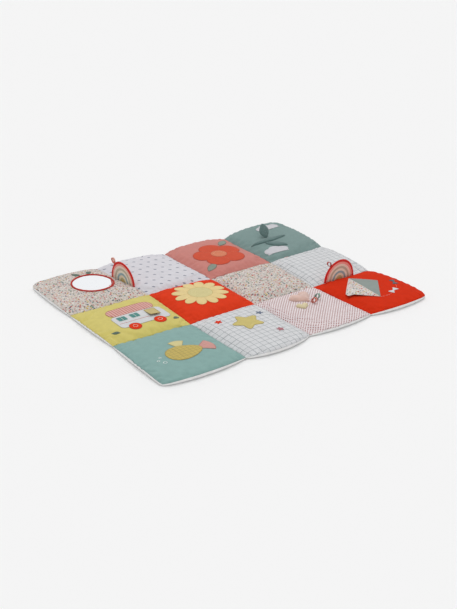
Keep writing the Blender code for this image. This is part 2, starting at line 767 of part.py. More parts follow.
def make_sprig():
    """Make the padded sprig of patch (3, 2) and its two clouds."""
    at = centre(3, 2)
    sewn_flat("cloud_far", moved(turned(cloud(0.140, 0.056), 8), at + Vector((0.066, 0.108))), "white")
    sewn_flat("cloud_near", moved(turned(cloud(0.130, 0.050), -4), at + Vector((-0.070, -0.134))), "white")
    padded("sprig_stem", moved(turned(leaf(0.205, 0.034, 12), 2), at + Vector((-0.134, -0.014))),
           7 * MM, "dark_teal")
    padded("sprig_leaf_lying", moved(turned(leaf(0.104, 0.042, 10), -42), at + Vector((-0.068, -0.034))),
           8 * MM, "dark_teal")
    foot = at + Vector((-0.018, 0.020))
    lean = math.radians(58)
    side = Vector((math.cos(math.radians(12)), math.sin(math.radians(12)), 0))
    up = Vector((-side.y * math.cos(lean), side.x * math.cos(lean), math.sin(lean)))
    face = side.cross(up)
    frame = Matrix((
        (up.x, side.x, face.x, foot.x),
        (up.y, side.y, face.y, foot.y),
        (up.z, side.z, face.z, top_at(foot.x, foot.y) - 4 * MM),
        (0, 0, 0, 1),
    ))
    leaf_piece = lens("sprig_leaf_blank", leaf(0.070, 0.062, 10), 9 * MM, frame)
    seated(leaf_piece, "sprig_leaf_standing", "dark_teal")


def make_seam_tag():
    """Make the small folded tag in the seam between patches (3, 1) and (3, 2)."""
    corner = PATCHES[3, 2].place(-0.42, -1.0) - MIDDLE
    sewn_flat("seam_tag", moved(rounded_box(0.016, 0.014, 0.003, 2), corner + Vector((0, -0.006))), "pink")


clear_scene()
make_mat()
make_mirror()
make_rainbows()
make_fish()
make_stars()
make_hearts()
make_kite()
make_bus()
make_daisy()
make_blossom()
make_sprig()
make_seam_tag()
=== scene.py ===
"""Looks of the baby play mat: twelve filled patches, their cloth and what is sewn on them."""

import logging
import math
import random
from dataclasses import dataclass, field
from enum import Enum
from typing import Callable, Sequence

import bmesh
import bpy
import numpy as np
from mathutils import Matrix, Vector
from mathutils.bvhtree import BVHTree
from mathutils.geometry import delaunay_2d_cdt


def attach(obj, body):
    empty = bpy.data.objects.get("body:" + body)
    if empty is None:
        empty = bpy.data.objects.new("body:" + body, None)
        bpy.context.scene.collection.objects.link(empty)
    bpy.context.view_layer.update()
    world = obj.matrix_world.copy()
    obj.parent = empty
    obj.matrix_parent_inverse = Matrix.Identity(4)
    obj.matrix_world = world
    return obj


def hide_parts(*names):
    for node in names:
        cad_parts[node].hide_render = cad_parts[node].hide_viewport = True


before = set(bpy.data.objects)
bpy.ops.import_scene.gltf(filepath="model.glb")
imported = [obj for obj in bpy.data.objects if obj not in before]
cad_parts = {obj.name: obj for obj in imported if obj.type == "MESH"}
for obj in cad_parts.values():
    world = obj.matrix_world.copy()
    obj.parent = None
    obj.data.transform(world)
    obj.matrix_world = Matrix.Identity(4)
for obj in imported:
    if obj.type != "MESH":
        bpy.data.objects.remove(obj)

logging.basicConfig(level=logging.INFO, format="%(message)s")
LOG = logging.getLogger("play_mat")

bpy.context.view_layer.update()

MM = 0.001
BODY = "root"
CLOTH_MAP = "cloth"
UP = Vector((0, 0, 1))

Outline = list[Vector]
Tree = bpy.types.NodeTree
Socket = bpy.types.NodeSocket
Piece = bpy.types.Object


def linear(hex_colour: str) -> tuple[float, float, float, float]:
    """Turn an sRGB hex colour to linear light.

    Args:
        hex_colour: Six hex digits, with or without a leading mark.

    Returns:
        Red, green, blue and an alpha of one.
    """
    digits = hex_colour.lstrip("#")
    shares = [int(digits[n:n + 2], 16) / 255 for n in (0, 2, 4)]
    light = [s / 12.92 if s <= 0.04045 else ((s + 0.055) / 1.055) ** 2.4 for s in shares]
    return (*light, 1.0)


def put(tree: Tree, kind: str, inputs: dict | Sequence = (), out: int | str = 0, **settings: object) -> Socket:
    """Add a node with its settings and links.

    Args:
        tree: The node tree to add to.
        kind: The node's type name.
        inputs: Values or sockets by input name, or in order with None left as it is.
        out: Which output socket to give back.
        settings: The node's own properties.

    Returns:
        The chosen output socket, or None where the node has no outputs.
    """
    node = tree.nodes.new(kind)
    for key, value in settings.items():
        setattr(node, key, value)
    pairs = inputs.items() if isinstance(inputs, dict) else enumerate(inputs)
    for key, value in pairs:
        if value is None:
            continue
        if isinstance(value, bpy.types.NodeSocket):
            tree.links.new(value, node.inputs[key])
        elif node.inputs[key].type == "VECTOR":
            node.inputs[key].default_value = value[:3]
        else:
            node.inputs[key].default_value = value
    return node.outputs[out] if node.outputs else None


class Print(Enum):
    """What is printed or woven on a cloth."""

    PLAIN = "plain"
    WINDOWPANE = "windowpane"
    DOTS = "dots"
    SPECKLE = "speckle"
    DROPS = "drops"
    GINGHAM = "gingham"
    ARCS = "arcs"


class Finish:
    """What every finish does: its material is made once, under its own name."""

    name: str

    def build(self) -> bpy.types.Material:
        """Make the material, once for each name.

        Returns:
            The material.
        """
        made = bpy.data.materials.get(self.name)
        if not made:
            made = bpy.data.materials.new(self.name)
            made.use_nodes = True
            self.dress(made.node_tree, made.node_tree.nodes["Principled BSDF"])
        return made

    def dress(self, tree: Tree, shader: bpy.types.ShaderNode) -> None:
        """Set the shader and add the nodes that feed it."""
        raise NotImplementedError

    @staticmethod
    def level(shader: bpy.types.ShaderNode, **levels: float) -> None:
        """Set the shader's plain values, a capital letter for each word of the socket's name."""
        for label, value in levels.items():
            shader.inputs[label.replace("_", " ")].default_value = value


@dataclass(frozen=True)
class WovenCotton(Finish):
    """Plain woven cotton: matt, with a fine thread grid, a little fuzz and its print.

    The thread grid of real cotton is about 0.3 mm; it is drawn at thread metres so that it shows.
    """

    name: str
    ground: str
    inks: tuple[str, ...] = ()
    figure: Print = Print.PLAIN
    pitch: float = 20 * MM
    size: float = 1.5 * MM
    thread: float = 1.3 * MM
    relief: float = 0.10 * MM
    roughness: float = 0.86
    sheen: float = 0.18
    gloss: float = 0.3
    mottle: float = 0.05
    mottle_size: float = 28 * MM
    slub_size: float = 3 * MM
    dash_turn: float = math.radians(-54)
    dash_stretch: float = 0.58

    def dress(self, tree: Tree, shader: bpy.types.ShaderNode) -> None:
        """Print the cloth and weave its surface.

        Args:
            tree: The material's tree.
            shader: Its surface shader.
        """
        spot = put(tree, "ShaderNodeUVMap", uv_map=CLOTH_MAP)
        colour = getattr(self, self.figure.value)(tree, spot)
        shade = put(tree, "ShaderNodeTexNoise", {"Vector": spot, "Scale": 1 / self.mottle_size, "Detail": 4.0})
        shade = put(tree, "ShaderNodeMapRange", {"Value": shade, "From Min": 0.3, "From Max": 0.7,
                                                 "To Min": 1 - self.mottle, "To Max": 1 + self.mottle})
        colour = put(tree, "ShaderNodeVectorMath", (colour, None, None, shade), operation="SCALE")
        tree.links.new(colour, shader.inputs["Base Color"])
        tree.links.new(self.weave(tree, spot), shader.inputs["Normal"])
        self.level(shader, Roughness=self.roughness, Sheen_Weight=self.sheen, Sheen_Roughness=0.6,
                   Specular_IOR_Level=self.gloss)

    def weave(self, tree: Tree, spot: Socket) -> Socket:
        """Raise the thread grid and its slubs.

        Args:
            tree: The material's tree.
            spot: The place on the flat cloth.

        Returns:
            The bumped normal.
        """
        turns = put(tree, "ShaderNodeVectorMath", (spot, None, None, math.tau / self.thread), operation="SCALE")
        waves = put(tree, "ShaderNodeVectorMath", (turns,), operation="SINE")
        parts = put(tree, "ShaderNodeSeparateXYZ", (waves,)).node.outputs
        grid = put(tree, "ShaderNodeMath", (parts[0], parts[1]), operation="MULTIPLY")
        slub = put(tree, "ShaderNodeTexNoise", {"Vector": spot, "Scale": 1 / self.slub_size, "Detail": 3.0})
        height = put(tree, "ShaderNodeMath", (slub, 2.0, grid), operation="MULTIPLY_ADD")
        return put(tree, "ShaderNodeBump", {"Height": height, "Strength": 0.6, "Distance": self.relief})

    def plain(self, tree: Tree, spot: Socket) -> tuple[float, float, float, float]:
        """Give the ground's colour alone."""
        return linear(self.ground)

    def inked(self, tree: Tree, share: Socket, ink: Socket | None = None) -> Socket:
        """Lay an ink, the first unless another is given, on the ground by a share from 0 to 1."""
        ink = linear(self.inks[0]) if ink is None else ink
        return put(tree, "ShaderNodeMixRGB", (share, linear(self.ground), ink))

    def cells(self, tree: Tree, spot: Socket, shift: float = 0.0) -> Socket:
        """Repeat the cloth in square cells of the print's pitch.

        Args:
            tree: The material's tree.
            spot: The place on the flat cloth.
            shift: How far the cells are moved, in cells.

        Returns:
            The place in the cell, from -0.5 to 0.5.
        """
        place = put(tree, "ShaderNodeVectorMath", (spot, None, None, 1 / self.pitch), operation="SCALE")
        place = put(tree, "ShaderNodeVectorMath", (place, (shift, shift, 0.0)), operation="ADD")
        place = put(tree, "ShaderNodeVectorMath", (place,), operation="FRACTION")
        return put(tree, "ShaderNodeVectorMath", (place, (0.5, 0.5, 0.0)), operation="SUBTRACT")

    def windowpane(self, tree: Tree, spot: Socket) -> Socket:
        """Thin crossing lines on a plain ground.

        Args:
            tree: The material's tree.
            spot: The place on the flat cloth.

        Returns:
            The colour.
        """
        away = put(tree, "ShaderNodeVectorMath", (self.cells(tree, spot),), operation="ABSOLUTE")
        parts = put(tree, "ShaderNodeSeparateXYZ", (away,)).node.outputs
        least = put(tree, "ShaderNodeMath", (parts[0], parts[1]), operation="MINIMUM")
        mask = put(tree, "ShaderNodeMath", (least, self.size / 2 / self.pitch), operation="LESS_THAN")
        return self.inked(tree, mask)

    def spots(self, tree: Tree, spot: Socket, stretch: float) -> Socket:
        """Give round or long spots in a staggered grid.

        Args:
            tree: The material's tree.
            spot: The place on the flat cloth.
            stretch: A share below one makes the spots longer.

        Returns:
            One on a spot and nought beside it.
        """
        masks = []
        for shift in (0.0, 0.5):
            place = put(tree, "ShaderNodeVectorMath", (self.cells(tree, spot, shift), (1.0, stretch, 1.0)),
                        operation="MULTIPLY")
            away = put(tree, "ShaderNodeVectorMath", (place,), out="Value", operation="LENGTH")
            masks.append(put(tree, "ShaderNodeMath", (away, self.size / 2 / self.pitch), operation="LESS_THAN"))
        return put(tree, "ShaderNodeMath", masks, operation="MAXIMUM")

    def dots(self, tree: Tree, spot: Socket) -> Socket:
        """Small round dots in a staggered grid."""
        return self.inked(tree, self.spots(tree, spot, 1.0))

    def drops(self, tree: Tree, spot: Socket) -> Socket:
        """Small short dashes, turned a little, in a staggered grid."""
        turned_spot = put(tree, "ShaderNodeVectorRotate", {"Vector": spot, "Angle": self.dash_turn})
        return self.inked(tree, self.spots(tree, turned_spot, self.dash_stretch))

    @staticmethod
    def ink_steps(tree: Tree, share: Socket, inks: Sequence[str]) -> Socket:
        """Step through inks as a share runs from 0 to 1.

        Args:
            tree: The material's tree.
            share: The share.
            inks: The inks, the first at nought.

        Returns:
            The colour.
        """
        colour = put(tree, "ShaderNodeValToRGB", (share,))
        ramp = colour.node.color_ramp
        ramp.interpolation = "CONSTANT"
        ramp.elements[1].position = 1 / len(inks)
        for n, ink in enumerate(inks):
            point = ramp.elements[n] if n < 2 else ramp.elements.new(n / len(inks))
            point.color = linear(ink)
        return colour

    def speckle(self, tree: Tree, spot: Socket) -> Socket:
        """Small flecks of several inks scattered on the ground.

        Args:
            tree: The material's tree.
            spot: The place on the flat cloth.

        Returns:
            The colour.
        """
        away = put(tree, "ShaderNodeTexVoronoi", {"Vector": spot, "Scale": 1 / self.pitch}, out="Distance",
                   voronoi_dimensions="2D")
        chance = put(tree, "ShaderNodeSeparateColor", (away.node.outputs["Color"],)).node.outputs
        reach = put(tree, "ShaderNodeMapRange", {"Value": chance[1], "To Min": 0.12,
                                                 "To Max": self.size / self.pitch})
        mask = put(tree, "ShaderNodeMath", (away, reach), operation="LESS_THAN")
        return self.inked(tree, mask, self.ink_steps(tree, chance[0], self.inks))

    def gingham(self, tree: Tree, spot: Socket) -> Socket:
        """Crossing bands of one ink, darker where they cross.

        Args:
            tree: The material's tree.
            spot: The place on the flat cloth.

        Returns:
            The colour.
        """
        parts = put(tree, "ShaderNodeSeparateXYZ", (self.cells(tree, spot),)).node.outputs
        bands = [put(tree, "ShaderNodeMath", (parts[n], 0.0), operation="LESS_THAN") for n in (0, 1)]
        both = put(tree, "ShaderNodeMath", bands, operation="ADD")
        return self.inked(tree, put(tree, "ShaderNodeMath", (both, 0.5), operation="MULTIPLY"))

    def arcs(self, tree: Tree, spot: Socket) -> Socket:
        """Rings of colour about the map's origin, outermost ink first, out to size.

        Args:
            tree: The material's tree.
            spot: The place on the flat cloth.

        Returns:
            The colour.
        """
        away = put(tree, "ShaderNodeVectorMath", (spot,), out="Value", operation="LENGTH")
        share = put(tree, "ShaderNodeMath", (away, self.size), operation="DIVIDE")
        return self.ink_steps(tree, share, self.inks[::-1])


@dataclass(frozen=True)
class MirrorFilm(Finish):
    """Aluminised plastic film laid over wadding: a bright, slightly rippled mirror."""

    name: str = "soft_mirror_film"
    tint: str = "#f2f4f7"
    roughness: float = 0.07
    ripple: float = 0.35 * MM
    ripple_size: float = 60 * MM

    def dress(self, tree: Tree, shader: bpy.types.ShaderNode) -> None:
        """Make the film bright and ripple it.

        Args:
            tree: The material's tree.
            shader: Its surface shader.
        """
        shader.inputs["Base Color"].default_value = linear(self.tint)
        spot = put(tree, "ShaderNodeTexCoord", out="Object")
        wave = put(tree, "ShaderNodeTexNoise", {"Vector": spot, "Scale": 1 / self.ripple_size, "Detail": 1.0})
        bump = put(tree, "ShaderNodeBump", {"Height": wave, "Strength": 0.4, "Distance": self.ripple})
        tree.links.new(bump, shader.inputs["Normal"])
        self.level(shader, Metallic=1.0, Roughness=self.roughness)


@dataclass(frozen=True)
class SewingThread(Finish):
    """Glossy polyester embroidery thread, lighter and darker along its twist."""

    name: str
    colour: str
    roughness: float = 0.45
    twist: float = 4 * MM

    def dress(self, tree: Tree, shader: bpy.types.ShaderNode) -> None:
        """Shade the thread along its twist.

        Args:
            tree: The material's tree.
            shader: Its surface shader.
        """
        spot = put(tree, "ShaderNodeTexCoord", out="Object")
        tone = put(tree, "ShaderNodeTexNoise", {"Vector": spot, "Scale": 1 / self.twist, "Detail": 2.0})
        tone = put(tree, "ShaderNodeMapRange", {"Value": tone, "To Min": 0.86, "To Max": 1.12})
        shade = put(tree, "ShaderNodeVectorMath", (linear(self.colour), None, None, tone), operation="SCALE")
        tree.links.new(shade, shader.inputs["Base Color"])
        self.level(shader, Roughness=self.roughness, Sheen_Weight=0.1)


def thread_of(colour: str) -> SewingThread:
    """Give the thread of a colour."""
    return SewingThread("thread_" + colour.lstrip("#"), colour)


@dataclass(frozen=True)
class Grosgrain(Finish):
    """Ribbed woven ribbon with a light stripe along its middle.

    The ribs of a real ribbon are about 0.5 mm; they are drawn at rib metres so that they show.
    """

    name: str
    middle: str
    edge: str
    width: float
    band: float
    rib: float = 1.1 * MM
    relief: float = 0.15 * MM

    def dress(self, tree: Tree, shader: bpy.types.ShaderNode) -> None:
        """Stripe the ribbon and raise its ribs.

        Args:
            tree: The material's tree.
            shader: Its surface shader.
        """
        spot = put(tree, "ShaderNodeUVMap", uv_map=CLOTH_MAP)
        parts = put(tree, "ShaderNodeSeparateXYZ", (spot,)).node.outputs
        off = put(tree, "ShaderNodeMath", (parts[1], self.width / 2), operation="SUBTRACT")
        off = put(tree, "ShaderNodeMath", (off,), operation="ABSOLUTE")
        mask = put(tree, "ShaderNodeMath", (off, self.width * self.band), operation="GREATER_THAN")
        colour = put(tree, "ShaderNodeMixRGB", (mask, linear(self.middle), linear(self.edge)))
        turn = put(tree, "ShaderNodeMath", (parts[0], math.tau / self.rib), operation="MULTIPLY")
        ribs = put(tree, "ShaderNodeMath", (turn,), operation="SINE")
        bump = put(tree, "ShaderNodeBump", {"Height": ribs, "Strength": 0.6, "Distance": self.relief})
        tree.links.new(colour, shader.inputs["Base Color"])
        tree.links.new(bump, shader.inputs["Normal"])
        self.level(shader, Roughness=0.6, Specular_IOR_Level=0.3)


# Woven cottons are matt and hold their colour at every angle; the reds have no fuzz, which would grey them. Plush
# is paler at its edges, the film mirrors the room, and ribbon has a low even sheen over its ribs.
PALETTE: dict[str, Finish] = {
    "teal": WovenCotton("cotton_teal", "#82a6a1", sheen=0.12, gloss=0.2),
    # A darker copy of the teal cotton: painted shade for the far right patch.
    "teal_with_painted_shade": WovenCotton("cotton_deep_teal", "#768f8c", sheen=0.12, gloss=0.2),
    "yellow": WovenCotton("cotton_yellow", "#cfc26b", sheen=0.12, gloss=0.2),
    "red": WovenCotton("cotton_red", "#db3d1f", sheen=0.0, gloss=0.05),
    # A darker copy of the red cotton: painted shade for the near right patch.
    "red_with_painted_shade": WovenCotton("cotton_deep_red", "#d03115", sheen=0.0, gloss=0.05),
    "dusty_pink": WovenCotton("cotton_dusty_pink", "#c67d74", sheen=0.12, gloss=0.2),
    "white": WovenCotton("cotton_white", "#cfd0d2"),
    "backing": WovenCotton("cotton_backing", "#efefee"),
    "check": WovenCotton("cotton_check", "#d2d3d5", ("#979c9f",), Print.WINDOWPANE, 26 * MM, 2.2 * MM),
    "dots": WovenCotton("cotton_dots", "#e1d8d9", ("#96383a",), Print.DOTS, 13.5 * MM, 5.2 * MM),
    "drops": WovenCotton("cotton_drops", "#d3d1d7", ("#777c8c",), Print.DROPS, 60 * MM, 8.0 * MM),
    "speckle": WovenCotton("cotton_speckle", "#cac1ba", ("#e2ddd6", "#b03a2c", "#5c8076", "#c2a24a", "#3a485a",
                                                       "#c0716a", "#74794c", "#e0dbd4", "#a8372a", "#4a5668"),
                           Print.SPECKLE, 9.4 * MM, 4.1 * MM),
    "mustard_check": WovenCotton("cotton_mustard_check", "#bfa951", ("#9c8a45",), Print.WINDOWPANE, 17 * MM,
                                 1.6 * MM),
    "cream": WovenCotton("cotton_cream", "#cfc387"),
    "ray": WovenCotton("cotton_pale_yellow", "#e0c888"),
    "pink": WovenCotton("cotton_pink", "#c98f86"),
    "gingham": WovenCotton("cotton_gingham", "#dfb8ae", ("#b4574d",), Print.GINGHAM, 12 * MM),
    "plush": WovenCotton("short_plush_pink", "#e0bbae", relief=0.4 * MM, thread=2.0 * MM, sheen=0.5, mottle=0.09),
    "orange": WovenCotton("cotton_orange_red", "#cc4f34", sheen=0.05, gloss=0.1),
    "coral": WovenCotton("cotton_coral", "#d27a58", sheen=0.08, gloss=0.15),
    "green": WovenCotton("cotton_green", "#4c6152"),
    "sage": WovenCotton("cotton_sage", "#7f8a7d"),
    "dark_teal": WovenCotton("cotton_dark_teal", "#5d7876"),
    "window": WovenCotton("cotton_window", "#3a817b"),
    "navy": WovenCotton("cotton_navy", "#4a5560"),
    "blue": WovenCotton("cotton_blue", "#5c6a80"),
    "plum": WovenCotton("cotton_plum", "#a8606a"),
    "star": WovenCotton("cotton_star", "#c6b566"),
    "daisy_centre": WovenCotton("cotton_daisy_centre", "#cfc387"),
    "door": WovenCotton("cotton_door", "#bfad6d"),
    "kite_teal": WovenCotton("cotton_kite", "#86918c"),
    "sail": WovenCotton("cotton_sail", "#d0c8c4", ("#e2ddd6", "#b03a2c", "#5c8076", "#c2a24a", "#3a485a",
                                                   "#c0716a"), Print.SPECKLE, 11 * MM, 4.8 * MM),
    "cloud": WovenCotton("cotton_cloud", "#c7c6cb"),
    "heart_cream": WovenCotton("cotton_heart", "#d9cba4"),
    "arcs": WovenCotton("cotton_arcs", "#d9b3a0", ("#e0604c", "#f79a8f", "#f0dccb", "#c5baa4", "#efe6d4",
                                                  "#93b3ba", "#efe2c4", "#c4bb88", "#dfb65a"), Print.ARCS,
                        size=80 * MM),
    "binding": WovenCotton("cotton_binding_red", "#d5302a", sheen=0.05, gloss=0.1),
    "mirror_rim": WovenCotton("cotton_mirror_rim", "#bd3b34", sheen=0.05, gloss=0.1),
    "film": MirrorFilm(),
    "ribbon_cream": Grosgrain("grosgrain_cream", "#ebe0c4", "#c8321f", 7 * MM, 0.16),
    "ribbon_red": Grosgrain("grosgrain_red", "#d99a86", "#a8211a", 7 * MM, 0.07),
    "loop_red": Grosgrain("grosgrain_red_wide", "#e8ddc8", "#c8321f", 9 * MM, 0.12),
    "loop_green": Grosgrain("grosgrain_green_wide", "#cfd8c8", "#3f7f6e", 9 * MM, 0.12),
}


@dataclass
class MatShape:
    """The mat's seams, swells and crowns, as in its solids, with the edge seam a little lower at the corners."""

    columns: tuple[float, ...] = (-0.650, -0.295, 0.026, 0.344, 0.650)
    rows: tuple[float, ...] = (-0.524, -0.163, 0.158, 0.524)
    crossing_shift_mm: tuple = (
        ((-10, -9), (6, -8), (-1, 1), (0, 6), (9, 9)),
        ((4, 0), (2, -5), (0, -1), (-14, -2), (-14, -12)),
        ((3, 14), (20, 14), (3, -2), (7, -2), (2, 5)),
        ((11, 9), (-24, 9), (-12, -22), (-2, -22), (20, 16)),
    )
    crown_mm: tuple = ((26, 27, 25, 26), (25, 27, 24, 25), (24, 25, 26, 26))
    near_swell_mm: tuple = (26, 36, 20, 24)
    far_swell_mm: tuple = (10, 14, 22, 16)
    left_swell_mm: tuple = (6, 5, 8)
    right_swell_mm: tuple = (10, 6, 12)
    seam_height: float = 4.5 * MM
    corner_height: float = 8.0 * MM
    edge_rise: float = 9.5 * MM
    swell_power: float = 2.2
    corner_pull: float = 7.0 * MM
    corner_power: int = 12
    middle: np.ndarray = field(default_factory=lambda: np.zeros(2))

    def __post_init__(self) -> None:
        """Find the middle of the outline, which is the origin."""
        line = np.linspace(-1, 1, 41)
        ends = [self.place(c, r, *np.meshgrid(line, line)) for c in range(4) for r in range(3)]
        xs = np.concatenate([e[0].ravel() for e in ends])
        ys = np.concatenate([e[1].ravel() for e in ends])
        self.middle = np.array([(xs.min() + xs.max()) / 2, (ys.min() + ys.max()) / 2])

    def corner(self, column: int, row: int) -> np.ndarray:
        """Give the place of a seam crossing."""
        shift = self.crossing_shift_mm[row][column]
        return np.array([self.columns[column] + shift[0] * MM, self.rows[row] + shift[1] * MM])

    def swells(self, column: int, row: int) -> dict[str, float]:
        """Give the swell of each side of a patch that is an outer edge.

        Args:
            column: The patch's column.
            row: The patch's row.

        Returns:
            The swell by side, in metres.
        """
        found = {}
        if column == 0:
            found["left"] = self.left_swell_mm[row] * MM
        if column == 3:
            found["right"] = self.right_swell_mm[row] * MM
        if row == 0:
            found["near"] = self.near_swell_mm[column] * MM
        if row == 2:
            found["far"] = self.far_swell_mm[column] * MM
        return found

    def place(self, column: int, row: int, u: np.ndarray, v: np.ndarray) -> tuple[np.ndarray, np.ndarray]:
        """Give x and y of points of a patch, u and v running from -1 to 1.

        Args:
            column: The patch's column.
            row: The patch's row.
            u: The points' places across the patch, from -1 to 1.
            v: Their places along it.

        Returns:
            x and y about the mat's middle.
        """
        a, b = self.corner(column, row), self.corner(column + 1, row)
        c, d = self.corner(column, row + 1), self.corner(column + 1, row + 1)
        s, t = (u + 1) / 2, (v + 1) / 2
        x = (a[0] * (1 - s) + b[0] * s) * (1 - t) + (c[0] * (1 - s) + d[0] * s) * t
        y = (a[1] * (1 - s) + b[1] * s) * (1 - t) + (c[1] * (1 - s) + d[1] * s) * t
        across = {"left": (-1, 0, -u, v), "right": (1, 0, u, v), "near": (0, -1, -v, u), "far": (0, 1, v, u)}
        for side, swell in self.swells(column, row).items():
            dx, dy, out, along = across[side]
            reach = swell * np.maximum(out, 0) ** 1.5 * (1 - np.abs(along) ** self.swell_power)
            x = x + dx * reach
            y = y + dy * reach
        pull = self.corner_pull * np.abs(u * v) ** self.corner_power * self.free(column, row, u, v, both=True)
        return x - np.sign(u) * pull - self.middle[0], y - np.sign(v) * pull - self.middle[1]

    def free(self, column: int, row: int, u: np.ndarray, v: np.ndarray, both: bool = False) -> np.ndarray:
        """Say for points of a patch whether the sides that they lean to are outer edges.

        Args:
            column: The patch's column.
            row: The patch's row.
            u: The points' places across the patch.
            v: The points' places along it.
            both: Ask for both sides at once, as one array.

        Returns:
            An array of truths for both sides at once, or the two arrays stacked.
        """
        swells = self.swells(column, row)
        across = np.where(u < 0, "left" in swells, "right" in swells)
        along = np.where(v < 0, "near" in swells, "far" in swells)
        return across & along if both else np.stack([across, along])

    def centre(self, column: int, row: int) -> Vector:
        """Give the middle of a patch."""
        x, y = self.place(column, row, np.zeros(1), np.zeros(1))
        return Vector((float(x[0]), float(y[0])))


def mesh_object(name: str, points: Sequence, faces: Sequence, maps: Sequence, finishes: Sequence,
                face_finish: Sequence[int] | None = None, smooth: bool = True) -> Piece:
    """Make a mesh object with its cloth map.

    Args:
        name: The piece's name.
        points: Its points in metres.
        faces: Its faces as point numbers.
        maps: For each point, its place on the flat cloth in metres.
        finishes: The finishes of its slots.
        face_finish: Which finish each face has, or all the first.
        smooth: Whether its faces are shaded smooth.

    Returns:
        The linked object, at the origin.
    """
    mesh = bpy.data.meshes.new(name)
    mesh.from_pydata([tuple(p) for p in points], [], [tuple(f) for f in faces])
    layer = mesh.uv_layers.new(name=CLOTH_MAP)
    corner_points = np.zeros(len(mesh.loops), dtype=np.int32)
    mesh.loops.foreach_get("vertex_index", corner_points)
    layer.data.foreach_set("uv", np.asarray(maps, dtype=np.float32)[corner_points].ravel())
    for finish in finishes:
        mesh.materials.append(finish.build())
    if face_finish is not None:
        mesh.polygons.foreach_set("material_index", np.asarray(face_finish, dtype=np.int32))
    if smooth:
        mesh.shade_smooth()
    mesh.update()
    made = bpy.data.objects.new(name, mesh)
    bpy.context.scene.collection.objects.link(made)
    return made


def face_outwards(piece: Piece, crease: bool = False) -> None:
    """Turn a closed piece's faces outwards, and keep the corners of a flat one sharp if asked.

    Args:
        piece: The piece.
        crease: Whether edges past 50 degrees stay sharp.
    """
    bm = bmesh.new()
    bm.from_mesh(piece.data)
    bmesh.ops.recalc_face_normals(bm, faces=bm.faces)
    bm.to_mesh(piece.data)
    bm.free()
    if crease:
        piece.data.set_sharp_from_angle(angle=math.radians(50))


def fit_on(piece: Piece, node: str | None = None) -> None:
    """Fasten a piece to the mat, hide the solid that it stands for, and log its face count.

    Args:
        piece: The finished piece.
        node: The solid, or None for trim.
    """
    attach(piece, BODY)
    if node:
        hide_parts(node)
    LOG.info("%s: %d faces", piece.name, len(piece.data.polygons))


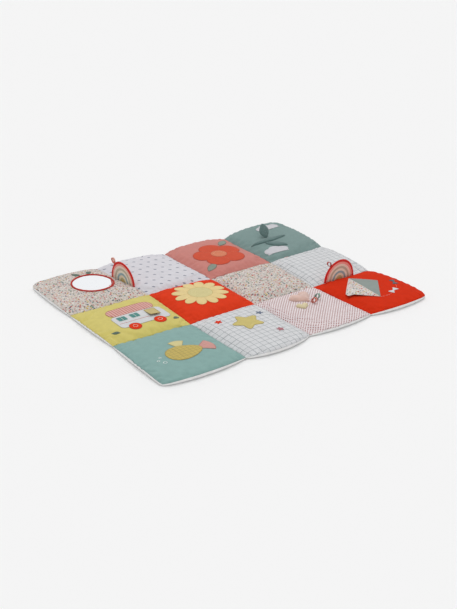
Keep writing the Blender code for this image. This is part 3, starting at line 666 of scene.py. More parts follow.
@dataclass
class Pillow:
    """One filled patch: patterned cloth above, plain backing below, drawn in at its seams."""

    shape: MatShape
    column: int
    row: int
    cloth: WovenCotton
    cells: int = 60
    round_start: float = 0.93
    crown_power: float = 3.2
    edge_crown_power: float = 6.0
    edge_base_power: float = 4.0
    fullness: float = 0.50
    pucker: float = 2.1 * MM
    edge_pucker: float = 1.7
    fold_span: tuple[float, float] = (16 * MM, 46 * MM)
    fold_reach: tuple[float, float] = (18 * MM, 30 * MM)
    draw_in: float = 2.2 * MM
    lip: float = 0.6 * MM
    slack: float = 0.03
    cap: float = 4.0 * MM
    frames: int = 14

    @property
    def name(self) -> str:
        """Give the piece's name."""
        return f"patch_{self.column}_{self.row}"

    def stations(self) -> np.ndarray:
        """Give the mesh lines from seam to seam, closer near the seams, with one more beside each seam.

        Returns:
            The lines' places from -1 to 1.
        """
        line = np.linspace(-1, 1, self.cells + 1)
        line = 1.25 * line - 0.25 * line**3
        return np.sort(np.append(line, (-0.994, 0.994)))

    def puckers(self, u: np.ndarray, v: np.ndarray, half: tuple[float, float]) -> np.ndarray:
        """Give the small folds that run in from each seam and die out towards the crown.

        Args:
            u: The points' places across the patch, from -1 to 1.
            v: Their places along it.
            half: Half the patch's width and length.

        Returns:
            The folds' heights, about -1 to 1.
        """
        rng = random.Random(100 * self.column + self.row)
        free = self.shape.free(self.column, self.row, u, v)
        total = np.zeros_like(u)
        for out, along, width, length, edge in ((u, v, *half, free[0]), (v, u, *half[::-1], free[1])):
            for side in (-1, 1):
                away = (1 - side * out) * width
                wave = np.zeros_like(u)
                for _ in range(6):
                    span = rng.uniform(*self.fold_span)
                    phase = rng.uniform(0, 2 * math.pi)
                    weight = rng.uniform(0.3, 1.0)
                    slant = rng.uniform(-0.25, 0.25)
                    wave += weight * np.sin(2 * math.pi * (along * length + slant * away) / span + phase)
                reach = rng.uniform(*self.fold_reach)
                depth = np.where(edge, self.edge_pucker, 1)
                total += depth * wave / 3 * np.exp(-away / reach) * (1 - np.exp(-away / (4 * MM)))
        return total

    def heights(self, u: np.ndarray, v: np.ndarray) -> tuple[np.ndarray, np.ndarray]:
        """Give the heights of the top cloth and the backing.

        Args:
            u: The points' places across the patch, from -1 to 1.
            v: Their places along it.

        Returns:
            Both heights, in metres.
        """
        shape = self.shape
        free_u, free_v = shape.free(self.column, self.row, u, v)
        inside, lift, drop = np.ones_like(u), np.ones_like(u), np.ones_like(u)
        outward = np.zeros_like(u)
        for t, free in ((u, free_u), (v, free_v)):
            past = np.clip((np.abs(t) - self.round_start) / (1 - self.round_start), 0, 1)
            rounded = np.sqrt(1 - past**2)
            inside = inside * np.where(free, rounded, 1)
            lift = lift * np.where(free, 1, rounded)
            outward = np.maximum(outward, np.where(free, np.abs(t) ** self.edge_base_power, 0))
            drop = drop * (1 - np.abs(t) ** np.where(free, self.edge_crown_power, self.crown_power))
        edge = shape.corner_height + shape.edge_rise * (1 - np.minimum(np.abs(u), np.abs(v)) ** 2.5)
        base = shape.seam_height + (edge - shape.seam_height) * outward
        crown = shape.crown_mm[self.row][self.column] * MM
        top = base + (crown - base) * drop**self.fullness
        bottom = shape.seam_height * (1 - lift) * inside + edge * (1 - inside)
        return top, bottom

    def spots(self, u: np.ndarray, v: np.ndarray) -> tuple[np.ndarray, np.ndarray]:
        """Give the points of the top cloth and the backing, with the seam line of free edges drawn in.

        Args:
            u: The points' places across the patch, from -1 to 1.
            v: Their places along it.

        Returns:
            Both sets of points.
        """
        x, y = self.shape.place(self.column, self.row, u, v)
        free_u, free_v = self.shape.free(self.column, self.row, u, v)
        x = x - np.sign(u) * self.draw_in * (free_u & (np.abs(u) > 0.9999))
        y = y - np.sign(v) * self.draw_in * (free_v & (np.abs(v) > 0.9999))
        top, bottom = self.heights(u, v)
        beside = (free_u & (np.abs(u) > 0.99)) | (free_v & (np.abs(v) > 0.99))
        beside &= (np.abs(u) < 0.9999) & (np.abs(v) < 0.9999)
        top = top + np.where(beside, self.lip, 0)
        bottom = bottom - np.where(beside, self.lip / 3, 0)
        return np.stack([x, y, top], -1), np.stack([x, y, bottom], -1)

    @staticmethod
    def cloth_map(points: np.ndarray) -> np.ndarray:
        """Give each point's place on the flat cloth, measured over the surface from the middle.

        Args:
            points: A grid of points.

        Returns:
            Two places for each point.
        """
        count = points.shape[0]
        across = np.linalg.norm(np.diff(points, axis=0), axis=-1)
        along = np.linalg.norm(np.diff(points, axis=1), axis=-1)
        flat_x = np.concatenate([np.zeros((1, count)), np.cumsum(across, 0)], 0)
        flat_y = np.concatenate([np.zeros((count, 1)), np.cumsum(along, 1)], 1)
        flat_x -= flat_x[count // 2][None, :]
        flat_y -= flat_y[:, count // 2][:, None]
        return np.stack([flat_x, flat_y], -1)

    def build(self) -> Piece:
        """Make the patch's closed mesh and settle its cloth.

        Returns:
            The patch.
        """
        line = self.stations()
        count = len(line)
        u, v = np.meshgrid(line, line, indexing="ij")
        upper, lower = self.spots(u, v)
        half = (np.ptp(upper[..., 0]) / 2, np.ptp(upper[..., 1]) / 2)
        rise = np.clip((upper[..., 2] - lower[..., 2]) / (10 * MM), 0, 1)
        upper[..., 2] += self.pucker * self.puckers(u, v, half) * rise
        number = np.arange(count * count).reshape(count, count)
        under = number.copy()
        under[1:-1, 1:-1] = count * count + np.arange((count - 2) ** 2).reshape(count - 2, count - 2)
        points = np.concatenate([upper.reshape(-1, 3), lower[1:-1, 1:-1].reshape(-1, 3)])
        maps = np.concatenate([self.cloth_map(upper).reshape(-1, 2),
                               self.cloth_map(lower)[1:-1, 1:-1].reshape(-1, 2)])
        faces, kinds = [], []
        for i in range(count - 1):
            for k in range(count - 1):
                faces.append((number[i, k], number[i + 1, k], number[i + 1, k + 1], number[i, k + 1]))
                faces.append((under[i, k], under[i, k + 1], under[i + 1, k + 1], under[i + 1, k]))
                kinds += [0, 1]
        piece = mesh_object(self.name, points, faces, maps, (self.cloth, PALETTE["backing"]), kinds)
        loose = number[2:-2, 2:-2].ravel()
        self.settle(piece, sorted(set(range(len(points))) - set(int(n) for n in loose)))
        fit_on(piece, "mat")
        return piece

    def settle(self, piece: Piece, sewn: Sequence[int]) -> None:
        """Let the top cloth, cut a little large, settle over its filling by cloth simulation.

        Args:
            piece: The patch.
            sewn: The points held by the seams and the backing.
        """
        mesh = piece.data
        before = np.zeros(len(mesh.vertices) * 3)
        mesh.vertices.foreach_get("co", before)
        group = piece.vertex_groups.new(name="sewn")
        group.add([int(n) for n in sewn], 1.0, "REPLACE")
        cloth = piece.modifiers.new("settle", "CLOTH")
        values = cloth.settings
        values.quality = 6
        values.mass = 0.1
        values.air_damping = 2.0
        values.tension_stiffness = values.compression_stiffness = 25.0
        values.shear_stiffness = 6.0
        values.bending_stiffness = 0.35
        values.use_pressure = True
        values.uniform_pressure_force = 2.5
        values.shrink_min = -self.slack
        values.vertex_group_mass = group.name
        values.effector_weights.gravity = 0.0
        cloth.collision_settings.use_collision = False
        cloth.point_cache.frame_end = self.frames
        scene = bpy.context.scene
        for frame_number in range(1, self.frames + 1):
            scene.frame_set(frame_number)
        settled = bpy.data.meshes.new_from_object(piece.evaluated_get(bpy.context.evaluated_depsgraph_get()))
        after = np.zeros_like(before)
        settled.vertices.foreach_get("co", after)
        bpy.data.meshes.remove(settled)
        piece.modifiers.clear()
        piece.vertex_groups.clear()
        shift = (after - before).reshape(-1, 3)
        reach = np.linalg.norm(shift, axis=1, keepdims=True)
        shift *= np.minimum(1, self.cap / np.maximum(reach, 1e-9))
        mesh.vertices.foreach_set("co", (before.reshape(-1, 3) + shift).ravel())
        mesh.update()
        LOG.info("%s settled: %.1f mm at most", self.name, reach.max() / MM)


class Surface:
    """The top of the finished patches, for what is sewn on them."""

    def __init__(self, pillows: Sequence[Piece]) -> None:
        """Read the patches' meshes into one search tree.

        Args:
            pillows: The finished patches.
        """
        points: list[Vector] = []
        faces: list[tuple[int, ...]] = []
        for pillow in pillows:
            start = len(points)
            points += [v.co.copy() for v in pillow.data.vertices]
            faces += [tuple(start + n for n in p.vertices) for p in pillow.data.polygons]
        self.tree = BVHTree.FromPolygons(points, faces)

    def height(self, x: float, y: float) -> float:
        """Give the height of the cloth at a place."""
        hit = self.tree.ray_cast(Vector((x, y, 1.0)), -UP)[0]
        return hit.z if hit else 0.0

    def over(self, spot: Vector, lift: float) -> Vector:
        """Give the point a little over the cloth at a place."""
        return Vector((spot.x, spot.y, self.height(spot.x, spot.y) + lift))


def turned(points: Outline, degrees: float) -> Outline:
    """Turn an outline about its own origin."""
    spin = Matrix.Rotation(math.radians(degrees), 2)
    return [spin @ point for point in points]


def moved(points: Outline, at: Vector) -> Outline:
    """Move an outline to a place."""
    return [point + at for point in points]


def oval(wide: float, tall: float, count: int = 64) -> Outline:
    """Give an oval outline."""
    steps = [2 * math.pi * n / count for n in range(count)]
    return [Vector((wide / 2 * math.cos(a), tall / 2 * math.sin(a))) for a in steps]


def lobes(radius: float, depth: float, number: int, count: int, sharp: float = 1.0) -> Outline:
    """Give an outline of round lobes; depth is the share lost between them.

    Args:
        radius: Its greatest radius.
        depth: The share of the radius lost.
        number: How many lobes.
        count: How many points.
        sharp: Below one for rounder lobes.

    Returns:
        The outline.
    """
    points = []
    for n in range(count):
        a = 2 * math.pi * n / count
        r = radius * (1 - depth + depth * abs(math.cos(number * a / 2)) ** sharp)
        points.append(Vector((r * math.cos(a), r * math.sin(a))))
    return points


def star(radius: float, inner: float = 0.52, number: int = 5, soft: float = 0.12) -> Outline:
    """Give a star outline with short round points.

    Args:
        radius: To its tips.
        inner: The valleys' share of the radius.
        number: How many tips.
        soft: Half the angle that a tip's round takes.

    Returns:
        The outline.
    """
    points = []
    for n in range(number):
        tip = math.pi / 2 + 2 * math.pi * n / number
        for offset, reach in ((-soft, 0.955), (-soft / 2, 0.985), (0, 0.995), (soft / 2, 0.985), (soft, 0.955)):
            points.append(Vector((math.cos(tip + offset), math.sin(tip + offset))) * radius * reach)
        valley = tip + math.pi / number
        points.append(Vector((math.cos(valley), math.sin(valley))) * radius * inner)
    return points


def leaf(length: float, width: float, count: int = 24) -> Outline:
    """Give a pointed leaf outline from its foot along +X.

    Args:
        length: From foot to tip.
        width: Across its middle.
        count: Steps on each side.

    Returns:
        The outline.
    """
    upper = [Vector((length * n / count, width / 2 * math.sin(math.pi * n / count) ** 0.8)) for n in range(count + 1)]
    lower = [Vector((p.x, -p.y)) for p in reversed(upper[1:-1])]
    return upper + lower


def rounded_box(wide: float, tall: float, radius: float, corner_steps: int = 6) -> Outline:
    """Give a rectangle outline with round corners.

    Args:
        wide: Along X.
        tall: Along Y.
        radius: Of its corners.
        corner_steps: Steps in a corner.

    Returns:
        The outline.
    """
    points = []
    for cx, cy, start in ((1, 1, 0), (-1, 1, 90), (-1, -1, 180), (1, -1, 270)):
        for n in range(corner_steps + 1):
            a = math.radians(start + 90 * n / corner_steps)
            points.append(Vector((cx * (wide / 2 - radius) + radius * math.cos(a),
                                  cy * (tall / 2 - radius) + radius * math.sin(a))))
    return points


def heart(size: float, count: int = 64) -> Outline:
    """Give a heart outline, its tip towards -Y.

    Args:
        size: Its width.
        count: How many points.

    Returns:
        The outline.
    """
    points = []
    for n in range(count):
        a = 2 * math.pi * (n + 0.5) / count
        x = 16 * math.sin(a) ** 3
        y = 13 * math.cos(a) - 5 * math.cos(2 * a) - 2 * math.cos(3 * a) - math.cos(4 * a)
        points.append(Vector((x, y + 2)) * size / 32)
    return points


def fan(radius: float, spread: float, foot: float, count: int = 14) -> Outline:
    """Give a fan outline opening towards +X from a narrow foot.

    Args:
        radius: To its round edge.
        spread: Its angle in degrees.
        foot: The width of its foot.
        count: Steps along the edge.

    Returns:
        The outline.
    """
    half = math.radians(spread / 2)
    angles = [half * (2 * n / count - 1) for n in range(count + 1)]
    edge = [Vector((math.cos(a), math.sin(a))) * radius for a in angles]
    return [Vector((0, -foot / 2)), *edge, Vector((0, foot / 2))]


def bow(width: float, tall: float) -> Outline:
    """Give a bow outline: two wings on a narrow waist.

    Args:
        width: Along X.
        tall: Along Y.

    Returns:
        The outline.
    """
    half = [(0.08, 0.14), (0.42, 0.50), (0.48, 0.44), (0.50, 0.30), (0.50, -0.30), (0.48, -0.44),
            (0.42, -0.50), (0.08, -0.14)]
    points = [Vector((x * width, y * tall)) for x, y in half]
    return points + [Vector((-p.x, p.y)) for p in reversed(points)]


def cloud(width: float, tall: float, count: int = 48) -> Outline:
    """Give a cloud outline of three bumps on a flat foot.

    Args:
        width: Along X.
        tall: Along Y.
        count: Steps over its top.

    Returns:
        The outline.
    """
    points = [Vector((-width * 0.42, -tall * 0.16)), Vector((width * 0.42, -tall * 0.16))]
    for n in range(count + 1):
        a = math.pi * n / count
        bump = 0.80 + 0.20 * abs(math.sin(3 * a)) ** 0.6
        points.append(Vector((width / 2 * math.cos(a) * bump, tall * math.sin(a) * bump + tall * 0.02)))
    return points


def spaced(outline: Outline, step: float) -> Outline:
    """Give an outline's points spaced evenly, about a step apart.

    Args:
        outline: The outline.
        step: The step in metres.

    Returns:
        The new outline, with its old corners.
    """
    found = []
    for a, b in zip(outline, outline[1:] + outline[:1]):
        parts = max(1, round((b - a).length / step))
        found += [a.lerp(b, n / parts) for n in range(parts)]
    return found


def rim_distance(points: Sequence[Vector], rims: Sequence[Outline]) -> np.ndarray:
    """Give how far each flat point is from the nearest outline.

    Args:
        points: The flat points.
        rims: The closed outlines.

    Returns:
        One distance for each point.
    """
    starts = np.array([tuple(p) for rim in rims for p in rim])
    ends = np.array([tuple(p) for rim in rims for p in rim[1:] + rim[:1]])
    spots = np.array([tuple(p) for p in points])[:, None, :]
    run = ends - starts
    share = np.einsum("nmk,mk->nm", spots - starts, run) / np.maximum((run**2).sum(-1), 1e-12)
    near = starts + np.clip(share, 0, 1)[..., None] * run
    return np.linalg.norm(spots - near, axis=-1).min(1)


def inside_of(p: Vector, outline: Outline) -> bool:
    """Say whether a point is inside an outline.

    Args:
        p: The point.
        outline: The outline.

    Returns:
        Whether it is.
    """
    within = False
    for a, b in zip(outline, outline[1:] + outline[:1]):
        if (a.y > p.y) != (b.y > p.y) and p.x < (b.x - a.x) * (p.y - a.y) / (b.y - a.y) + a.x:
            within = not within
    return within


def inset(outline: Outline, by: float) -> Outline:
    """Give an outline's points moved along its inward normals, without those that crowd its corners.

    Args:
        outline: The outline.
        by: How far.

    Returns:
        The moved points.
    """
    found = []
    turn = 1 if sum(a.x * b.y - b.x * a.y for a, b in zip(outline, outline[1:] + outline[:1])) > 0 else -1
    for before, p, after in zip(outline[-1:] + outline[:-1], outline, outline[1:] + outline[:1]):
        run = (after - before).normalized()
        found.append(p + Vector((-run.y, run.x)) * turn * by)
    away = rim_distance(found, [outline])
    return [q for q, d in zip(found, away) if d > 0.9 * by]


def filled(rims: Sequence[Outline], step: float, insets: Sequence[float] = ()) -> tuple[list[Vector], list]:
    """Fill an outline with triangles.

    Args:
        rims: The closed outline, and the holes left open inside it.
        step: How far apart the inner points are.
        insets: How far in extra rings of points lie beside the outline.

    Returns:
        The flat points, the outlines' first, and the faces.
    """
    edges, rim_points = [], []
    for rim in rims:
        start = len(rim_points)
        rim_points += rim
        edges += [(start + n, start + (n + 1) % len(rim)) for n in range(len(rim))]
    inner = [q for by in insets for q in inset(rims[0], by)]
    clear = (max(insets) if insets else 0) + 0.5 * step
    xs, ys = [p.x for p in rims[0]], [p.y for p in rims[0]]
    grid = []
    for i in range(1, int((max(xs) - min(xs)) / step) + 2):
        for k in range(1, int((max(ys) - min(ys)) / step) + 2):
            grid.append(Vector((min(xs) + (i - 0.5 * (k % 2)) * step, min(ys) + k * step)))
    away = rim_distance(grid, rims)
    inner += [q for q, d in zip(grid, away) if d > clear]
    inner = [q for q in inner if inside_of(q, rims[0]) and not any(inside_of(q, hole) for hole in rims[1:])]
    points, _, faces, *_ = delaunay_2d_cdt(rim_points + inner, edges, [], 0, 1e-7)
    kept = []
    for face in faces:
        middle = sum((points[n] for n in face), Vector((0, 0))) / len(face)
        if inside_of(middle, rims[0]) and not any(inside_of(middle, hole) for hole in rims[1:]):
            kept.append(tuple(face))
    return [Vector(p) for p in points], kept


def open_edges(faces: Sequence[tuple[int, ...]]) -> list[tuple[int, int]]:
    """Give the edges that only one face uses, in that face's order."""
    uses = {(a, b) for face in faces for a, b in zip(face, face[1:] + face[:1])}
    return [(a, b) for a, b in uses if (b, a) not in uses]


class StitchKind(Enum):
    """How a line of stitches is laid."""

    SATIN = "satin"
    RUNNING = "running"


@dataclass
class Stitching:
    """Lines of stitches along paths, made by one node tree."""

    group_name: str = "stitches_on_a_path"

    def tree(self) -> Tree:
        """Make the tree: a path is walked in even steps, with one stitch at each.

        Returns:
            The tree.
        """
        found = bpy.data.node_groups.get(self.group_name)
        if found:
            return found
        tree = bpy.data.node_groups.new(self.group_name, "GeometryNodeTree")
        face = tree.interface
        face.new_socket("Geometry", in_out="INPUT", socket_type="NodeSocketGeometry")
        for label in ("Spacing", "Along", "Across", "Height"):
            face.new_socket(label, in_out="INPUT", socket_type="NodeSocketFloat")
        face.new_socket("Up", in_out="INPUT", socket_type="NodeSocketVector")
        face.new_socket("Thread", in_out="INPUT", socket_type="NodeSocketMaterial")
        face.new_socket("Geometry", in_out="OUTPUT", socket_type="NodeSocketGeometry")
        given = tree.nodes.new("NodeGroupInput").outputs
        curve = put(tree, "GeometryNodeMeshToCurve", (given["Geometry"],))
        walked = put(tree, "GeometryNodeResampleCurve", {"Curve": curve, "Length": given["Spacing"]}, mode="LENGTH")
        size = put(tree, "ShaderNodeCombineXYZ", (given["Along"], given["Across"], given["Height"]))
        bead = put(tree, "GeometryNodeMeshIcoSphere", {"Radius": 0.5, "Subdivisions": 1})
        stitch = put(tree, "GeometryNodeTransform", {"Geometry": bead, "Scale": size})
        ahead = put(tree, "GeometryNodeInputTangent")
        turn = put(tree, "FunctionNodeAlignRotationToVector", {"Vector": ahead}, axis="X")
        turn = put(tree, "FunctionNodeAlignRotationToVector", {"Rotation": turn, "Vector": given["Up"]},
                   axis="Z", pivot_axis="X")
        placed = put(tree, "GeometryNodeInstanceOnPoints", {"Points": walked, "Instance": stitch, "Rotation": turn})
        real = put(tree, "GeometryNodeRealizeInstances", {"Geometry": placed})
        dressed = put(tree, "GeometryNodeSetMaterial", {"Geometry": real, "Material": given["Thread"]})
        put(tree, "NodeGroupOutput", (dressed,))
        return tree

    def sew(self, name: str, paths: Sequence[Sequence[Vector]], thread: SewingThread, kind: StitchKind,
            closed: bool = True, up: Vector = UP, width: float = 2.6 * MM) -> Piece:
        """Lay stitches along paths.

        Args:
            name: The piece's name.
            paths: The paths in space.
            thread: The thread's finish.
            kind: Satin stitches lie across the path, running stitches along it.
            closed: Whether each path closes on itself.
            up: The way out of the cloth.
            width: The width of a satin border.

        Returns:
            The stitches as one plain mesh.
        """
        points: list[Vector] = []
        edges: list[tuple[int, int]] = []
        for path in paths:
            start = len(points)
            points += list(path)
            edges += [(start + n, start + n + 1) for n in range(len(path) - 1)]
            if closed:
                edges.append((len(points) - 1, start))
        mesh = bpy.data.meshes.new(name + "_path")
        mesh.from_pydata([tuple(p) for p in points], edges, [])
        guide = bpy.data.objects.new(name + "_path", mesh)
        bpy.context.scene.collection.objects.link(guide)
        maker = guide.modifiers.new("stitches", "NODES")
        maker.node_group = self.tree()
        sizes = {
            StitchKind.SATIN: (1.25 * MM, 1.15 * MM, width, 1.3 * MM),
            StitchKind.RUNNING: (5.0 * MM, 3.4 * MM, 1.0 * MM, 1.0 * MM),
        }[kind]
        values = dict(zip(("Spacing", "Along", "Across", "Height"), sizes))
        values |= {"Up": tuple(up), "Thread": thread.build()}
        for item in maker.node_group.interface.items_tree:
            if item.in_out == "INPUT" and item.name in values:
                maker[item.identifier] = values[item.name]
        graph = bpy.context.evaluated_depsgraph_get()
        plain = bpy.data.meshes.new_from_object(guide.evaluated_get(graph))
        plain.name = name
        made = bpy.data.objects.new(name, plain)
        bpy.context.scene.collection.objects.link(made)
        bpy.data.objects.remove(guide, do_unlink=True)
        plain.shade_smooth()
        fit_on(made)
        return made


STITCHING = Stitching()


@dataclass
class SewnShape:
    """A flat cloth shape with a satin border, lying on a patch."""

    node: str
    outline: Outline
    cloth: Finish
    slot: str
    on: str
    thread: str = "#b0a070"
    level: int = 0
    holes: Sequence[Outline] = ()
    step: float = 5 * MM
    body: float = 1.1 * MM
    puff: float = 0.9 * MM
    clear: float = 0.25 * MM
    layer: float = 1.3 * MM
    border: float = 2.4 * MM
    origin: Vector = field(default_factory=lambda: Vector((0, 0)))

    def build(self, surface: Surface) -> Piece:
        """Make the closed cloth and its border.

        Args:
            surface: The patches' cloth.

        Returns:
            The cloth.
        """
        rims = [spaced(rim, 3 * MM) for rim in (self.outline, *self.holes)]
        spots, faces = filled(rims, self.step)
        away = rim_distance(spots, rims)
        low = self.clear + self.level * self.layer
        swell = self.puff * (1 - np.exp(-away / (5 * MM)))
        upper = [surface.over(p, low + self.body + float(w)) for p, w in zip(spots, swell)]
        lower = [surface.over(p, low) for p in spots]
        maps = [tuple(p - self.origin) for p in spots]
        count = len(spots)
        all_faces = faces + [tuple(count + n for n in reversed(f)) for f in faces]
        all_faces += [(b, a, count + a, count + b) for a, b in open_edges(faces)]
        piece = mesh_object(self.node + "_cloth", upper + lower, all_faces, maps + maps, (self.cloth,))
        face_outwards(piece, crease=True)
        fit_on(piece, self.node)
        if self.border:
            edge = [[surface.over(p, low + self.body) for p in rim] for rim in rims]
            STITCHING.sew(self.node + "_border", edge, thread_of(self.thread), StitchKind.SATIN,
                          width=self.border)
        return piece


Placing = Callable[[Vector, float], Vector]


@dataclass
class StuffedShape:
    """A small filled cloth shape, rounded over from the seam round its outline."""

    node: str
    outline: Outline
    cloth: Finish
    slot: str
    place: Placing
    height: float
    shoulder: float
    two_sided: bool = False
    holes: Sequence[Outline] = ()
    step: float = 4 * MM
    fill: float = 0.7
    ripple: float = 0.35 * MM
    narrow: Callable[[Vector], float] = lambda p: 1.0

    def __post_init__(self) -> None:
        """Space the outline's points."""
        self.rims = [spaced(rim, 2.5 * MM) for rim in (self.outline, *self.holes)]

    def rise(self, points: Sequence[Vector]) -> list[float]:
        """Give how far the cloth stands off the middle plane at flat points.

        Args:
            points: The flat points.

        Returns:
            One height for each.
        """
        away = np.clip(rim_distance(points, self.rims) / self.shoulder, 0, 1)
        full = np.sqrt(1 - (1 - away) ** 2) * self.height
        wave = [math.sin(p.x / (5.3 * MM) + 2 * math.sin(p.y / (7 * MM))) for p in points]
        fold = self.ripple * np.array(wave) * 4 * away * (1 - away)
        return [float(h * self.narrow(p)) for h, p in zip(np.maximum(full + fold, 0), points)]

    def on_face(self, path: Sequence[Vector], side: int = 1, lift: float = 0.3 * MM) -> list[Vector]:
        """Give a flat path as points on the cloth's face."""
        return [self.place(p, side * (h + lift)) for p, h in zip(path, self.rise(path))]

    def build(self) -> Piece:
        """Make the closed filled shape.

        Returns:
            The filled shape.
        """
        spots, faces = filled(self.rims, self.step, (0.5 * MM, 1.5 * MM, 3.2 * MM))
        rise = self.rise(spots)
        rim_count = sum(len(rim) for rim in self.rims)
        points = [self.place(p, h) for p, h in zip(spots, rise)]
        under = list(range(rim_count))
        for p, h in list(zip(spots, rise))[rim_count:]:
            under.append(len(points))
            points.append(self.place(p, -h if self.two_sided else 0.0))
        maps = [tuple(p) for p in spots] + [tuple(p) for p in spots[rim_count:]]
        all_faces = faces + [tuple(under[n] for n in reversed(f)) for f in faces]
        piece = mesh_object(self.node + "_filled", points, all_faces, maps, (self.cloth,))
        face_outwards(piece)
        fit_on(piece, self.node)
        return piece


@dataclass
class SweptBand:
    """A strip of cloth or ribbon that follows a path, as one closed mesh."""

    name: str
    cloth: Finish
    slot: str
    closed: bool

    def build(self, sections: Sequence[Sequence[Vector]], width: float) -> Piece:
        """Join the sections to a closed mesh; the map runs along the strip and across it.

        Args:
            sections: The closed section at each step of the path.
            width: The strip's width, for the map.

        Returns:
            The strip's object.
        """
        count = len(sections[0])
        along, total = [0.0], 0.0
        for a, b in zip(sections, sections[1:]):
            total += (b[0] - a[0]).length
            along.append(total)
        points = [p for section in sections for p in section]
        half = count // 2
        across = [width * (n / (half - 1) if n < half else (count - 1 - n) / (half - 1)) for n in range(count)]
        maps = [(u, v) for u in along for v in across]
        faces = []
        for n in range(len(sections) if self.closed else len(sections) - 1):
            m = (n + 1) % len(sections)
            for k in range(count):
                j = (k + 1) % count
                faces.append((n * count + k, n * count + j, m * count + j, m * count + k))
        if not self.closed:
            faces.append(tuple(range(count)))
            faces.append(tuple((len(sections) - 1) * count + k for k in reversed(range(count))))
        piece = mesh_object(self.name, points, faces, maps, (self.cloth,))
        face_outwards(piece, crease=True)
        fit_on(piece)
        return piece


@dataclass
class RibbonLoop:
    """A woven ribbon folded to a loop, its two ends sewn in at the root."""

    node: str
    root: Vector
    along: Vector
    aside: Vector
    length: float
    spread: float
    ribbon: float
    cloth: Finish
    slot: str
    thick: float = 1.5 * MM
    steps: int = 64

    def build(self) -> Piece:
        """Make the loop.

        Returns:
            The loop.
        """
        across = self.along.cross(self.aside).normalized()
        sections = []
        for n in range(self.steps):
            a = 2 * math.pi * (n + 0.5) / self.steps
            pair = []
            for shrink in (0.0, self.thick):
                reach = shrink * 2.2 + (self.length - shrink * 3.2) * (1 - math.cos(a)) / 2
                gap = (self.spread / 2 - shrink) * math.sin(a) * math.sin(a / 2) ** 0.35 * 1.25
                pair.append(self.root + self.along * reach + self.aside * gap)
            shares = (-0.5, -0.25, 0.0, 0.25, 0.5)
            sections.append([pair[0] + across * (self.ribbon * k) for k in shares]
                            + [pair[1] + across * (self.ribbon * k) for k in reversed(shares)])
        piece = SweptBand(self.node + "_ribbon", self.cloth, self.slot, True).build(sections, self.ribbon)
        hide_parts(self.node)
        return piece


